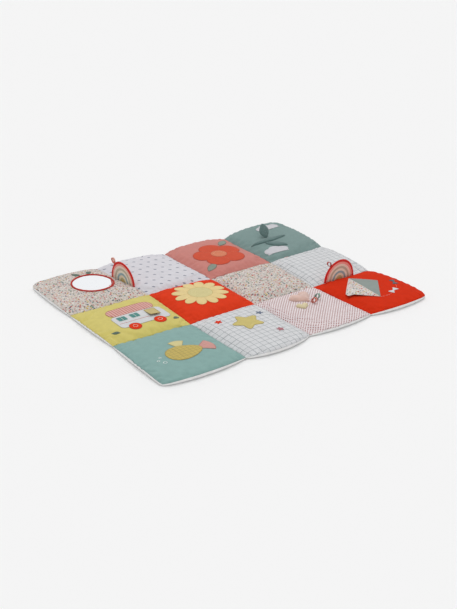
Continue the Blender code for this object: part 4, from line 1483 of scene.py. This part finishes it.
@dataclass
class Rainbow:
    """A striped half-disc that stands up out of a seam, with a bound rim and a ribbon loop."""

    node: str
    feet: tuple[tuple[float, float], tuple[float, float]]
    lean: float
    loop_angle: float
    ribbon: str
    shape: MatShape
    height: float = 93 * MM
    seam_top: float = 7.5 * MM
    thick: float = 5 * MM
    foot_depth: float = 2.5 * MM
    binding: float = 9 * MM

    def __post_init__(self) -> None:
        """Find the disc's frame."""
        a, b = (Vector(foot) - Vector(self.shape.middle) for foot in self.feet)
        self.middle = (a + b) / 2
        self.along = (b - a).normalized()
        self.aside = Vector((-self.along.y, self.along.x))
        self.radius = (b - a).length / 2

    def place(self, p: Vector, off: float) -> Vector:
        """Give the point in space of a point of the disc's face.

        Args:
            p: The point of the face.
            off: How far off the disc's middle.

        Returns:
            The point.
        """
        tip = self.lean * (max(p.y, 0) / self.height) ** 2
        spot = self.middle + self.along * p.x + self.aside * (off + tip)
        return Vector((spot.x, spot.y, self.seam_top + p.y))

    def foot_narrow(self, p: Vector) -> float:
        """Give how much thinner the disc is where the seam draws it in."""
        share = min(max((p.y - 1 * MM) / (14 * MM), 0), 1)
        return 0.3 + 0.7 * share * share * (3 - 2 * share)

    def arc(self, share: float, steps: int = 90, low: float = 0.0) -> list[Vector]:
        """Give the arc at a share of the disc's size, from foot to foot.

        Args:
            share: The share of the disc's size.
            steps: How many steps.
            low: The angle left out at each foot.

        Returns:
            The arc on the face.
        """
        found = []
        for n in range(steps + 1):
            a = low + (math.pi - 2 * low) * n / steps
            found.append(Vector((self.radius * share * math.cos(a), self.height * share * math.sin(a))))
        return found

    def build(self) -> None:
        """Make the disc, its binding, stitches and loop."""
        outline = [Vector((self.radius, -self.foot_depth))] + self.arc(1.0, 60) + [
            Vector((-self.radius, -self.foot_depth))]
        disc = StuffedShape(self.node, outline, PALETTE["arcs"], "striped_cotton", self.place, self.thick / 2,
                            9 * MM, two_sided=True, narrow=self.foot_narrow, ripple=0.2 * MM)
        piece = disc.build()
        squeeze = self.radius / self.height
        for loop in piece.data.uv_layers[CLOTH_MAP].data:
            loop.uv[1] = loop.uv[1] * squeeze
        self.bind(disc)
        for share, name in ((0.865, "outer"), (0.50, "inner")):
            path = self.arc(share, 80, 0.06)
            for side, mark in ((1, "left"), (-1, "right")):
                STITCHING.sew(f"{self.node}_stitches_{name}_{mark}", [disc.on_face(path, side, 0.5 * MM)],
                              thread_of("#efe6d8"), StitchKind.RUNNING, closed=False,
                              up=Vector((self.aside.x, self.aside.y, 0)) * side)
        self.loop()

    def bind(self, disc: StuffedShape) -> None:
        """Fold the red binding over the rim.

        Args:
            disc: The filled disc.
        """
        sections = []
        for p in self.arc(1.0, 120):
            radial = Vector((p.x / self.radius**2, p.y / self.height**2)).normalized()
            path, lifts = [], []
            for inward, lift in ((1.0, 0.45), (0.82, 0.75), (0.55, 0.8), (0.25, 0.8), (0.08, 0.8)):
                path.append(p - radial * self.binding * inward)
                lifts.append(lift * MM)
            rise = disc.rise(path)
            narrow = self.foot_narrow(p)
            outer = [self.place(q, h + lift * narrow) for q, h, lift in zip(path, rise, lifts)]
            outer.append(self.place(p + radial * 0.9 * MM, 0.0))
            outer += [self.place(q, -(h + lift * narrow)) for q, h, lift in
                      reversed(list(zip(path, rise, lifts)))]
            inner = [self.place(q, max(h - 0.3 * MM, 0)) for q, h in zip(path, rise)]
            inner.append(self.place(p - radial * 0.2 * MM, 0.0))
            inner += [self.place(q, -max(h - 0.3 * MM, 0)) for q, h in reversed(list(zip(path, rise)))]
            sections.append(outer + list(reversed(inner)))
        SweptBand(self.node + "_binding", PALETTE["binding"], "red_cotton", False).build(sections, 2 * self.binding)

    def loop(self) -> None:
        """Fold the ribbon loop that is sewn in at the rim."""
        angle = math.radians(self.loop_angle)
        out = self.along * math.cos(angle)
        rim = self.middle + out * self.radius + self.aside * (self.lean * math.sin(angle) ** 2)
        root = Vector((rim.x, rim.y, self.seam_top + self.height * math.sin(angle)))
        up = Vector((out.x, out.y, math.sin(angle))).normalized()
        across = Vector((self.aside.x, self.aside.y, 0))
        RibbonLoop(self.node + "_loop", root - up * (0.2 * MM), up, up.cross(across), 28 * MM, 15 * MM, 7 * MM,
                   PALETTE[self.ribbon], self.ribbon).build()


@dataclass
class Flap:
    """A loose piece of cloth sewn on along one edge and raised towards its free edge."""

    node: str
    at: Vector
    across: Vector
    down: Vector
    width_top: float
    width_bottom: float
    rise: float
    level: int
    cloth: Finish
    slot: str
    on: str
    thread: str
    thick: float = 1.6 * MM
    clear: float = 0.4 * MM
    layer: float = 1.45 * MM
    sag: float = 0.6 * MM
    cells: tuple[int, int] = (18, 26)

    def build(self, surface: Surface) -> Piece:
        """Make the flap and its hem stitches.

        Args:
            surface: The patches' cloth.

        Returns:
            The flap.
        """
        wide, deep = self.cells
        points, maps, rim = [], [], {}
        for layer in (0, 1):
            for k in range(deep + 1):
                t = k / deep
                width = self.width_top + (self.width_bottom - self.width_top) * t
                for i in range(wide + 1):
                    s = i / wide - 0.5
                    p = self.at + self.across * (width * s) + self.down * t
                    lift = self.clear + self.level * self.layer + self.rise * t**1.6 * (1 - 0.5 * s)
                    sag = self.sag * math.sin(math.pi * i / wide) * math.sin(math.pi * t)
                    points.append(surface.over(p, lift + sag + layer * self.thick))
                    maps.append((width * s, self.down.length * t))
                    rim[layer, i, k] = len(points) - 1
        faces = []
        for i in range(wide):
            for k in range(deep):
                for layer in (0, 1):
                    corners = (rim[layer, i, k], rim[layer, i + 1, k], rim[layer, i + 1, k + 1],
                               rim[layer, i, k + 1])
                    faces.append(corners if layer else tuple(reversed(corners)))
        loop = [(i, 0) for i in range(wide)] + [(wide, k) for k in range(deep)]
        loop += [(i, deep) for i in range(wide, 0, -1)] + [(0, k) for k in range(deep, 0, -1)]
        for one, two in zip(loop, loop[1:] + loop[:1]):
            faces.append((rim[0, *one], rim[0, *two], rim[1, *two], rim[1, *one]))
        piece = mesh_object(self.node + "_cloth", points, faces, maps, (self.cloth,))
        face_outwards(piece, crease=True)
        fit_on(piece, self.node)
        hem = [[piece.data.vertices[rim[1, *spot]].co.copy() for spot in loop]]
        STITCHING.sew(self.node + "_hem", hem, thread_of(self.thread), StitchKind.SATIN, width=3.0 * MM)
        return piece


@dataclass
class Studio:
    """Pale floor, soft light and the camera at the photograph's angle."""

    azimuth: float = -35.553
    elevation: float = 24.510
    distance: float = 4.6747
    target: tuple[float, float, float] = (-0.0620, -0.0815, 0.0)
    lens: float = 67.30
    floor: str = "#f5f5f5"
    floor_side: float = 80.0
    sky: float = 0.43
    backdrop: float = 0.97
    front: float = 0.80
    sun: float = 1.08
    sun_from: tuple[float, float] = (150.0, 11.0)

    def build(self) -> None:
        """Make the floor, the light and the camera."""
        bm = bmesh.new()
        bmesh.ops.create_grid(bm, x_segments=1, y_segments=1, size=self.floor_side / 2)
        mesh = bpy.data.meshes.new("floor")
        bm.to_mesh(mesh)
        bm.free()
        for vertex in mesh.vertices:
            vertex.co.z = -0.3 * MM
        ground = bpy.data.objects.new("floor", mesh)
        bpy.context.scene.collection.objects.link(ground)
        paint = bpy.data.materials.new("floor_paint")
        paint.use_nodes = True
        shader = paint.node_tree.nodes["Principled BSDF"]
        shader.inputs["Base Color"].default_value = linear(self.floor)
        shader.inputs["Roughness"].default_value = 1.0
        shader.inputs["Specular IOR Level"].default_value = 0.0
        mesh.materials.append(paint)
        self.sky_light()
        lamp = bpy.data.lights.new("soft_sun", "SUN")
        lamp.energy = self.sun
        lamp.angle = math.radians(50)
        light = bpy.data.objects.new("soft_sun", lamp)
        turn, tilt = (math.radians(a) for a in self.sun_from)
        light.rotation_euler = (tilt, 0, turn)
        bpy.context.scene.collection.objects.link(light)
        self.camera()
        bpy.context.scene.view_settings.view_transform = "Standard"

    def sky_light(self) -> None:
        """Light all sides softly, with a white backdrop beyond the mat and a softer one behind the camera."""
        world = bpy.data.worlds.new("studio")
        world.use_nodes = True
        tree = world.node_tree
        turn = math.radians(self.azimuth)
        away = (-math.sin(turn), math.cos(turn), 0.0)
        side = put(tree, "ShaderNodeTexCoord", out="Generated")
        share = put(tree, "ShaderNodeVectorMath", (side, away), out="Value", operation="DOT_PRODUCT")
        far = put(tree, "ShaderNodeMapRange", {"Value": share, "From Min": 0.2, "From Max": 0.6,
                                               "To Min": self.sky, "To Max": self.backdrop},
                  interpolation_type="SMOOTHSTEP")
        near = put(tree, "ShaderNodeMapRange", {"Value": share, "From Min": -0.2, "From Max": -0.6,
                                                "To Min": 0.0, "To Max": self.front - self.sky},
                   interpolation_type="SMOOTHSTEP")
        light = put(tree, "ShaderNodeMath", (far, near), operation="ADD")
        tree.nodes["Background"].inputs["Color"].default_value = (1, 1, 1, 1)
        tree.links.new(light, tree.nodes["Background"].inputs["Strength"])
        bpy.context.scene.world = world

    def camera(self) -> None:
        """Make the camera."""
        a, e = math.radians(self.azimuth), math.radians(self.elevation)
        back = Vector((math.sin(a) * math.cos(e), -math.cos(a) * math.cos(e), math.sin(e)))
        lens = bpy.data.cameras.new("camera")
        lens.lens = self.lens
        lens.sensor_width = 36.0
        lens.clip_end = 100.0
        camera = bpy.data.objects.new("camera", lens)
        camera.location = Vector(self.target) + back * self.distance
        camera.rotation_euler = back.to_track_quat("Z", "Y").to_euler()
        bpy.context.scene.collection.objects.link(camera)
        bpy.context.scene.camera = camera


# The far right teal and the near right red are darker copies of the teal and red cottons, with painted shade.
PATCH_CLOTH = {
    (0, 0): "teal", (1, 0): "check", (2, 0): "dots", (3, 0): "red_with_painted_shade",
    (0, 1): "yellow", (1, 1): "red", (2, 1): "speckle", (3, 1): "check",
    (0, 2): "speckle", (1, 2): "drops", (2, 2): "dusty_pink", (3, 2): "teal_with_painted_shade",
}


def clipped(outline: Outline, other: Outline, room: float = 0.5 * MM) -> Outline:
    """Cut a convex shape out of an outline that it overlaps on one side.

    Args:
        outline: The outline to cut.
        other: The shape that stays whole.
        room: How far apart they end.

    Returns:
        The cut outline.
    """
    middle = sum(other, Vector((0, 0))) / len(other)
    found = []
    for p in spaced(outline, 1.5 * MM):
        if not inside_of(p, other):
            found.append(p)
            continue
        ray = (p - middle).normalized()
        edge = min(other, key=lambda q: ((q - middle).normalized() - ray).length)
        found.append(edge + ray * room)
    return found


@dataclass
class Picture:
    """What every picture needs: the mat's shape, its surface and the patch that it is sewn on."""

    shape: MatShape
    surface: Surface
    patch: tuple[int, int] = (0, 0)

    @property
    def at(self) -> Vector:
        """Give the middle of the patch."""
        return self.shape.centre(*self.patch)

    @property
    def on(self) -> str:
        """Give the name of the patch."""
        return f"patch_{self.patch[0]}_{self.patch[1]}"

    def lay(self, node: str, outline: Outline, cloth: str, slot: str, thread: str, **more: object) -> Piece:
        """Lay one flat shape on the patch.

        Args:
            node: The solid that it stands for.
            outline: Its outline on the mat.
            cloth: Its cloth in the palette.
            slot: The record's material slot.
            thread: The colour of its border.
            more: Other fields of the sewn shape.

        Returns:
            The cloth shape.
        """
        return SewnShape(node, outline, PALETTE[cloth], slot, self.on, thread, origin=self.at,
                         **more).build(self.surface)

    def stitch(self, name: str, paths: Sequence[Outline], thread: str, slot: str, lift: float = 2.3 * MM,
               closed: bool = False, kind: StitchKind = StitchKind.RUNNING, width: float = 2.4 * MM) -> None:
        """Sew lines of stitches on the patch or on a shape that lies on it.

        Args:
            name: The name of the stitches.
            paths: The lines on the mat.
            thread: Their colour.
            slot: The record's material slot; not used.
            lift: How far over the patch's cloth they lie.
            closed: Whether each line closes on itself.
            kind: How the stitches lie.
            width: The width of satin stitches.
        """
        lines = [[self.surface.over(p, lift) for p in path] for path in paths]
        STITCHING.sew(name, lines, thread_of(thread), kind, closed=closed, width=width)


def line_between(a: Vector, b: Vector, bend: float = 0.0, steps: int = 24) -> Outline:
    """Give a line between two points, bent to one side."""
    side = Vector((a.y - b.y, b.x - a.x)).normalized()
    return [a.lerp(b, n / steps) + side * bend * math.sin(math.pi * n / steps) for n in range(steps + 1)]


@dataclass
class Fish(Picture):
    """The checked fish with its tail, fin and bubbles."""

    def build(self) -> None:
        """Lay the fish."""
        at = self.at + Vector((0.000, -0.046))
        body = [Vector((p.x, p.y * (1 - 3.2 * p.x))) + at for p in oval(0.150, 0.104)]
        self.lay("fish_body", body, "mustard_check", "mustard_cotton", "#b39c46")
        tail = moved(fan(0.062, 84, 0.016), at + Vector((0.066, 0)))
        self.lay("fish_tail", clipped(tail, body), "pink", "pink_cotton", "#c27a70")
        fin = moved(turned(fan(0.052, 70, 0.020), 78), at + Vector((0.006, 0.044)))
        self.lay("fish_fin", clipped(fin, body), "cream", "cream_cotton", "#c9b878")
        gill = moved([Vector((-0.032 + 0.010 * math.cos(a / 20), 0.048 * math.sin(a / 20)))
                      for a in range(-24, 25)], at)
        rays = [line_between(at + Vector((0.084, y / 2)), at + Vector((0.116, y * 2))) for y in (-0.010, 0, 0.010)]
        self.stitch("fish_gill", [gill], "#93803a", "mustard_cotton")
        self.stitch("fish_tail_rays", rays, "#e0b0a6", "pink_cotton")
        bubbles = [moved(oval(size, size, 20), at + Vector((x, y)))
                   for size, x, y in ((0.014, -0.104, -0.030), (0.010, -0.118, -0.006), (0.008, -0.100, 0.012))]
        self.stitch("fish_bubbles", bubbles, "#eef2f0", "white_cotton", lift=0.4 * MM, closed=True,
                    kind=StitchKind.SATIN, width=3.0 * MM)


@dataclass
class Stars(Picture):
    """The large star and the three small ones."""

    def build(self) -> None:
        """Lay the stars."""
        rows = (
            ("large_star", 0.064, 10, 0.004, 0.024, "star", "cream_cotton", "#b8a552"),
            ("small_star_red", 0.016, 0, -0.088, 0.092, "red", "red_cotton", "#b33a2c"),
            ("small_star_blue", 0.016, 20, 0.096, 0.070, "blue", "navy_cotton", "#4c5870"),
            ("small_star_plum", 0.016, -12, 0.070, -0.100, "plum", "plum_cotton", "#8f4e58"),
        )
        for name, radius, turn, dx, dy, cloth, slot, thread in rows:
            large = radius > 0.03
            outline = moved(turned(star(radius, 0.60 if large else 0.5), turn), self.at + Vector((dx, dy)))
            self.lay(name, outline, cloth, slot, thread, border=2.4 * MM if large else 0,
                     step=(5 if large else 3) * MM)
        inner = moved(turned(star(0.046, 0.62), 10), self.at + Vector((0.004, 0.024)))
        self.stitch("large_star_stitches", [spaced(inner, 3 * MM)], "#e6dca6", "cream_cotton", closed=True)


@dataclass
class Daisy(Picture):
    """The daisy with its stitched petals."""

    def build(self) -> None:
        """Lay the daisy."""
        at = self.at + Vector((0.008, 0.020))
        self.lay("daisy_centre", moved(oval(0.104, 0.104), at), "daisy_centre", "mustard_cotton", "#c9b468")
        petals = moved(lobes(0.118, 0.34, 12, 192, 0.6), at)
        self.lay("daisy_petals", petals, "ray", "cream_cotton", "#dcc184", holes=(moved(oval(0.105, 0.105), at),))
        folds = []
        for n in range(12):
            ray = Vector((math.cos(math.tau * (n + 0.5) / 12), math.sin(math.tau * (n + 0.5) / 12)))
            folds.append(line_between(at + ray * 0.057, at + ray * 0.073, steps=6))
        self.stitch("daisy_folds", folds, "#c9a765", "cream_cotton")
        rings = [moved(oval(size, size), at) for size in (0.072, 0.040)]
        self.stitch("daisy_rings", rings, "#efe4ae", "mustard_cotton", closed=True)


@dataclass
class Blossom(Picture):
    """The large blossom with its centre and leaves."""

    def build(self) -> None:
        """Lay the blossom."""
        at = self.at + Vector((0.004, -0.006))
        petals = moved(turned(lobes(0.118, 0.26, 5, 160, 0.7), 90), at)
        self.lay("blossom", petals, "orange", "orange_cotton", "#b94a34")
        self.lay("blossom_centre", moved(oval(0.072, 0.072), at), "coral", "pink_cotton", "#bd6046", level=1)
        for name, turn, dx, dy in (("blossom_leaf_far", 38, 0.062, 0.082),
                                   ("blossom_leaf_near", 214, -0.072, -0.076)):
            outline = moved(turned(leaf(0.078, 0.034), turn), at + Vector((dx, dy)))
            self.lay(name, clipped(outline, petals), "sage", "green_cotton", "#66735f")
        folds = []
        for n in range(5):
            turn = math.radians(90 + 36 + 72 * n)
            ray = Vector((math.cos(turn), math.sin(turn)))
            folds.append(line_between(at + ray * 0.044, at + ray * 0.080, 0.004))
        self.stitch("blossom_folds", folds, "#e08a66", "orange_cotton")
        ring = moved(oval(0.046, 0.046), at)
        self.stitch("blossom_ring", [ring], "#f0c8a8", "pink_cotton", lift=3.6 * MM, closed=True)


@dataclass
class Bus(Picture):
    """The toy bus with its loose door flap."""

    def build(self) -> None:
        """Lay the bus."""
        at = self.at
        body = spaced(moved(rounded_box(0.226, 0.104, 0.020), at + Vector((0.024, -0.040))), 1.5 * MM)
        for name, dx in (("bus_wheel_back", -0.036), ("bus_wheel_front", 0.078)):
            wheel = moved(oval(0.050, 0.050, 36), at + Vector((dx, -0.098)))
            self.lay(name, wheel, "red", "red_cotton", "#b53625")
            body = clipped(body, wheel)
        hubs = [moved(oval(0.018, 0.018, 24), at + Vector((dx, -0.098))) for dx in (-0.036, 0.078)]
        self.stitch("bus_hubs", hubs, "#efe6d8", "red_cotton", closed=True, kind=StitchKind.SATIN)
        self.lay("bus_body", body, "white", "white_cotton", "#c4c4c0")
        roof = moved(rounded_box(0.206, 0.066, 0.030), at + Vector((0.022, 0.046)))
        self.lay("bus_roof", roof, "gingham", "pink_cotton", "#b46a60")
        bars = []
        for name, dx in (("bus_window_back", -0.050), ("bus_window_front", 0.008)):
            outline = moved(rounded_box(0.040, 0.036, 0.006), at + Vector((dx, -0.018)))
            self.lay(name, outline, "window", "dark_teal_cotton", "#dcdcd8", level=1)
            bars.append(line_between(at + Vector((dx, -0.034)), at + Vector((dx, -0.002)), steps=10))
        self.stitch("bus_window_bars", bars, "#e4e6e4", "dark_teal_cotton", lift=3.6 * MM, kind=StitchKind.SATIN)
        trim = [line_between(at + Vector((-0.080, -0.056)), at + Vector((0.052, -0.056)), steps=40)]
        self.stitch("bus_trim", trim, "#c9503c", "white_cotton", kind=StitchKind.SATIN, width=3.2 * MM)
        for name, turn, dx, dy in (("bus_leaf_left", 150, -0.112, -0.112), ("bus_leaf_right", 24, 0.128, -0.118)):
            outline = moved(turned(leaf(0.036, 0.018), turn), at + Vector((dx, dy)))
            self.lay(name, outline, "green", "green_cotton", "#4a6355", border=0, step=3 * MM)
        Flap("bus_door", at + Vector((0.086, 0.002)), Vector((1, 0)), Vector((-0.008, -0.066)), 0.046, 0.046,
             8 * MM, 1, PALETTE["door"], "mustard_cotton", self.on, "#a8934e").build(self.surface)


@dataclass
class Kite(Picture):
    """The kite with one loose half, and the bows of its tail."""

    def build(self) -> None:
        """Lay the kite."""
        at = self.at
        top, foot = at + Vector((-0.012, 0.122)), at + Vector((-0.034, -0.100))
        loose = at + Vector((-0.130, -0.006))
        across = Vector((0.002, 0))
        half = [top + across, foot + across, at + Vector((0.070, 0.030))]
        self.lay("kite_half", half, "kite_teal", "teal_cotton", "#8ea8a2")
        spine, middle = (top - foot).normalized(), (top + foot) / 2
        step = (loose - middle).normalized() * (0.8 * MM)
        Flap("kite_sail", middle + step, spine, loose - middle, (top - foot).length - 6 * MM, 16 * MM, 9 * MM, 0,
             PALETTE["sail"], "speckled_cotton", self.on, "#e6d9d2").build(self.surface)
        rows = (
            ("kite_bow_white", 0.048, 0.028, 24, 0.056, -0.084, "white", "white_cotton", "#c9a9a4"),
            ("kite_bow_navy", 0.044, 0.026, 70, 0.118, -0.018, "navy", "navy_cotton", "#3c4650"),
        )
        for name, wide, tall, turn, dx, dy, cloth, slot, thread in rows:
            outline = moved(turned(bow(wide, tall), turn), at + Vector((dx, dy)))
            self.lay(name, outline, cloth, slot, thread, border=0, step=3 * MM)
        first, second = at + Vector((0.056, -0.084)), at + Vector((0.118, -0.018))
        tail = line_between(foot, first, -0.014) + line_between(first, second, -0.012)[1:]
        self.stitch("kite_tail", [tail], "#f1ece4", "white_cotton", lift=0.4 * MM)


@dataclass
class Hearts(Picture):
    """The two filled hearts with the ribbon loops beside them."""

    def build(self) -> None:
        """Make the hearts and the loops."""
        at = self.at
        rows = (
            ("heart_large", 0.100, 8, Vector((0.006, 0.072)), 17 * MM, 26 * MM, "plush", "pink_plush", "#e8cfc6"),
            ("heart_small", 0.052, -14, Vector((-0.042, 0.006)), 11 * MM, 15 * MM, "heart_cream", "cream_cotton",
             "#efe4c4"),
        )
        for name, size, turn, step, height, shoulder, cloth, slot, thread in rows:
            outline = moved(turned(heart(size), turn), at + step)
            shape = StuffedShape(name, outline, PALETTE[cloth], slot,
                                 lambda p, h: self.surface.over(p, 0.3 * MM + h), height, shoulder,
                                 step=(4 if size > 0.06 else 2.5) * MM)
            shape.build()
            line = moved(turned(heart(size * 0.80), turn), at + step)
            STITCHING.sew(name + "_stitches", [shape.on_face(line)], thread_of(thread), StitchKind.RUNNING)
        rise = math.radians(42)
        up = Vector((0, -math.cos(rise), math.sin(rise)))
        aside = Vector((0, math.sin(rise), math.cos(rise)))
        for node, dx, dy, cloth, slot in (("ribbon_loop_red", 0.018, 0.022, "loop_red", "ribbon_red"),
                                          ("ribbon_loop_green", 0.054, 0.046, "loop_green", "ribbon_green")):
            root = self.surface.over(at + Vector((dx, dy)), 1.5 * MM)
            RibbonLoop(node, root, up, aside, 34 * MM, 17 * MM, 9 * MM, PALETTE[cloth], slot).build()


@dataclass
class Sprig(Picture):
    """The padded sprig of leaves and the clouds beside it."""

    def build(self) -> None:
        """Make the clouds, the stem and the leaves."""
        at = self.at
        far = moved(turned(cloud(0.140, 0.056), 8), at + Vector((0.066, 0.108)))
        near = moved(turned(cloud(0.130, 0.050), -4), at + Vector((-0.070, -0.134)))
        self.lay("cloud_far", far, "cloud", "white_cotton", "#d0d3d4")
        self.lay("cloud_near", near, "cloud", "white_cotton", "#d0d3d4")
        rows = (
            ("sprig_stem", 0.205, 0.034, 2, Vector((-0.134, -0.014)), 8.2 * MM, 12 * MM),
            ("sprig_leaf_lying", 0.104, 0.042, -42, Vector((-0.068, -0.034)), 9.2 * MM, 14 * MM),
        )
        for name, length, width, turn, foot, height, shoulder in rows:
            shape = StuffedShape(name, moved(turned(leaf(length, width), turn), at + foot), PALETTE["dark_teal"],
                                 "dark_teal_cotton", lambda p, h: self.surface.over(p, 0.3 * MM + h), height,
                                 shoulder, step=3 * MM)
            shape.build()
            rib = moved(turned([Vector((length * k / 40, 0)) for k in range(3, 38)], turn), at + foot)
            STITCHING.sew(name + "_rib", [shape.on_face(rib)], thread_of("#8fa09e"), StitchKind.RUNNING,
                          closed=False)
        self.standing_leaf()

    def standing_leaf(self, length: float = 70 * MM, width: float = 62 * MM) -> None:
        """Make the leaf that stands up, with its veins.

        Args:
            length: From foot to tip.
            width: Across its middle.
        """
        foot = self.at + Vector((-0.018, 0.020))
        lean = math.radians(58)
        side = Vector((math.cos(math.radians(12)), math.sin(math.radians(12)), 0))
        up = Vector((-side.y * math.cos(lean), side.x * math.cos(lean), math.sin(lean)))
        face = side.cross(up)
        low = self.surface.over(foot, -1.0 * MM)

        def place(p: Vector, off: float) -> Vector:
            """Give the point in space of a point of the leaf's face."""
            return low + up * p.x + side * p.y + face * (off + 6 * MM * (p.x / length) ** 2)

        shape = StuffedShape("sprig_leaf_standing", leaf(length, width), PALETTE["dark_teal"], "dark_teal_cotton",
                             place, 4.5 * MM, 20 * MM, two_sided=True, step=3 * MM)
        shape.build()
        veins = [[Vector((length * k / 30, 0)) for k in range(3, 28)]]
        for start in (0.22, 0.40, 0.58):
            for wing in (-1, 1):
                veins.append([Vector((length * (start + 0.20 * k / 12), wing * width * 0.36 * k / 12
                                      * (1.15 - start))) for k in range(1, 13)])
        for turn, mark in ((1, "front"), (-1, "back")):
            STITCHING.sew("sprig_leaf_veins_" + mark, [shape.on_face(vein, turn) for vein in veins],
                          thread_of("#8fa09e"), StitchKind.RUNNING, closed=False, up=face * turn)


@dataclass
class Mirror(Picture):
    """The round soft mirror with its gathered cloth rim and two leaves."""

    glass: float = 170 * MM
    rim: float = 186 * MM

    def build(self) -> None:
        """Make the mirror."""
        at = self.at + Vector((0.040, 0.018))
        film = SewnShape("mirror_glass", moved(oval(self.glass - 0.6 * MM, self.glass - 0.6 * MM, 120), at),
                         PALETTE["film"], "soft_mirror", self.on, border=0, body=1.6 * MM, puff=1.2 * MM, origin=at)
        film.build(self.surface)
        ring = StuffedShape("mirror_rim", moved(oval(self.rim, self.rim, 160), at), PALETTE["mirror_rim"],
                            "red_cotton", lambda p, h: self.surface.over(p, 0.3 * MM + h), 5.2 * MM, 4.8 * MM,
                            holes=(moved(oval(self.glass - 3 * MM, self.glass - 3 * MM, 150), at),),
                            step=1.8 * MM, ripple=0.5 * MM)
        ring.build()
        line = moved(oval(self.rim - 2.4 * MM, self.rim - 2.4 * MM, 160), at)
        STITCHING.sew("mirror_rim_stitches", [ring.on_face(line)], thread_of("#d8705c"), StitchKind.RUNNING)
        for side, turn, dx, dy in (("left", 118, -0.006, 0.098), ("right", 55, 0.030, 0.094)):
            outline = moved(turned(leaf(0.046, 0.022), turn), at + Vector((dx, dy)))
            self.lay("mirror_leaf_" + side, outline, "green", "green_cotton", "#4a6355", border=0, step=3 * MM)


@dataclass
class SeamTag(Picture):
    """The small tag sewn into a seam."""

    def build(self) -> None:
        """Make the tag."""
        x, y = self.shape.place(3, 2, np.array([-0.42]), np.array([-1.0]))
        spot = Vector((float(x[0]), float(y[0]) - 0.006))
        self.lay("seam_tag", moved(rounded_box(0.016, 0.014, 0.003), spot), "pink", "pink_cotton", "#c27a70",
                 border=0, step=3 * MM, level=1)


def main() -> None:
    """Build the mat's looks in order."""
    Studio().build()
    shape = MatShape()
    pillows = [Pillow(shape, c, r, PALETTE[name]).build() for (c, r), name in PATCH_CLOTH.items()]
    surface = Surface(pillows)
    pictures = (
        Fish(shape, surface, (0, 0)), Stars(shape, surface, (1, 0)), Hearts(shape, surface, (2, 0)),
        Kite(shape, surface, (3, 0)), Bus(shape, surface, (0, 1)), Daisy(shape, surface, (1, 1)),
        Blossom(shape, surface, (2, 2)), Sprig(shape, surface, (3, 2)), Mirror(shape, surface, (0, 2)),
        SeamTag(shape, surface, (3, 1)),
    )
    for picture in pictures:
        picture.build()
        LOG.info("finished: %s", type(picture).__name__)
    Rainbow("rainbow_left", ((-0.286, 0.267), (-0.308, 0.421)), 6 * MM, 52, "ribbon_cream", shape).build()
    Rainbow("rainbow_right", ((0.393, -0.1655), (0.552, -0.1715)), -6 * MM, 128, "ribbon_red", shape).build()


if __name__ == "__main__":
    main()
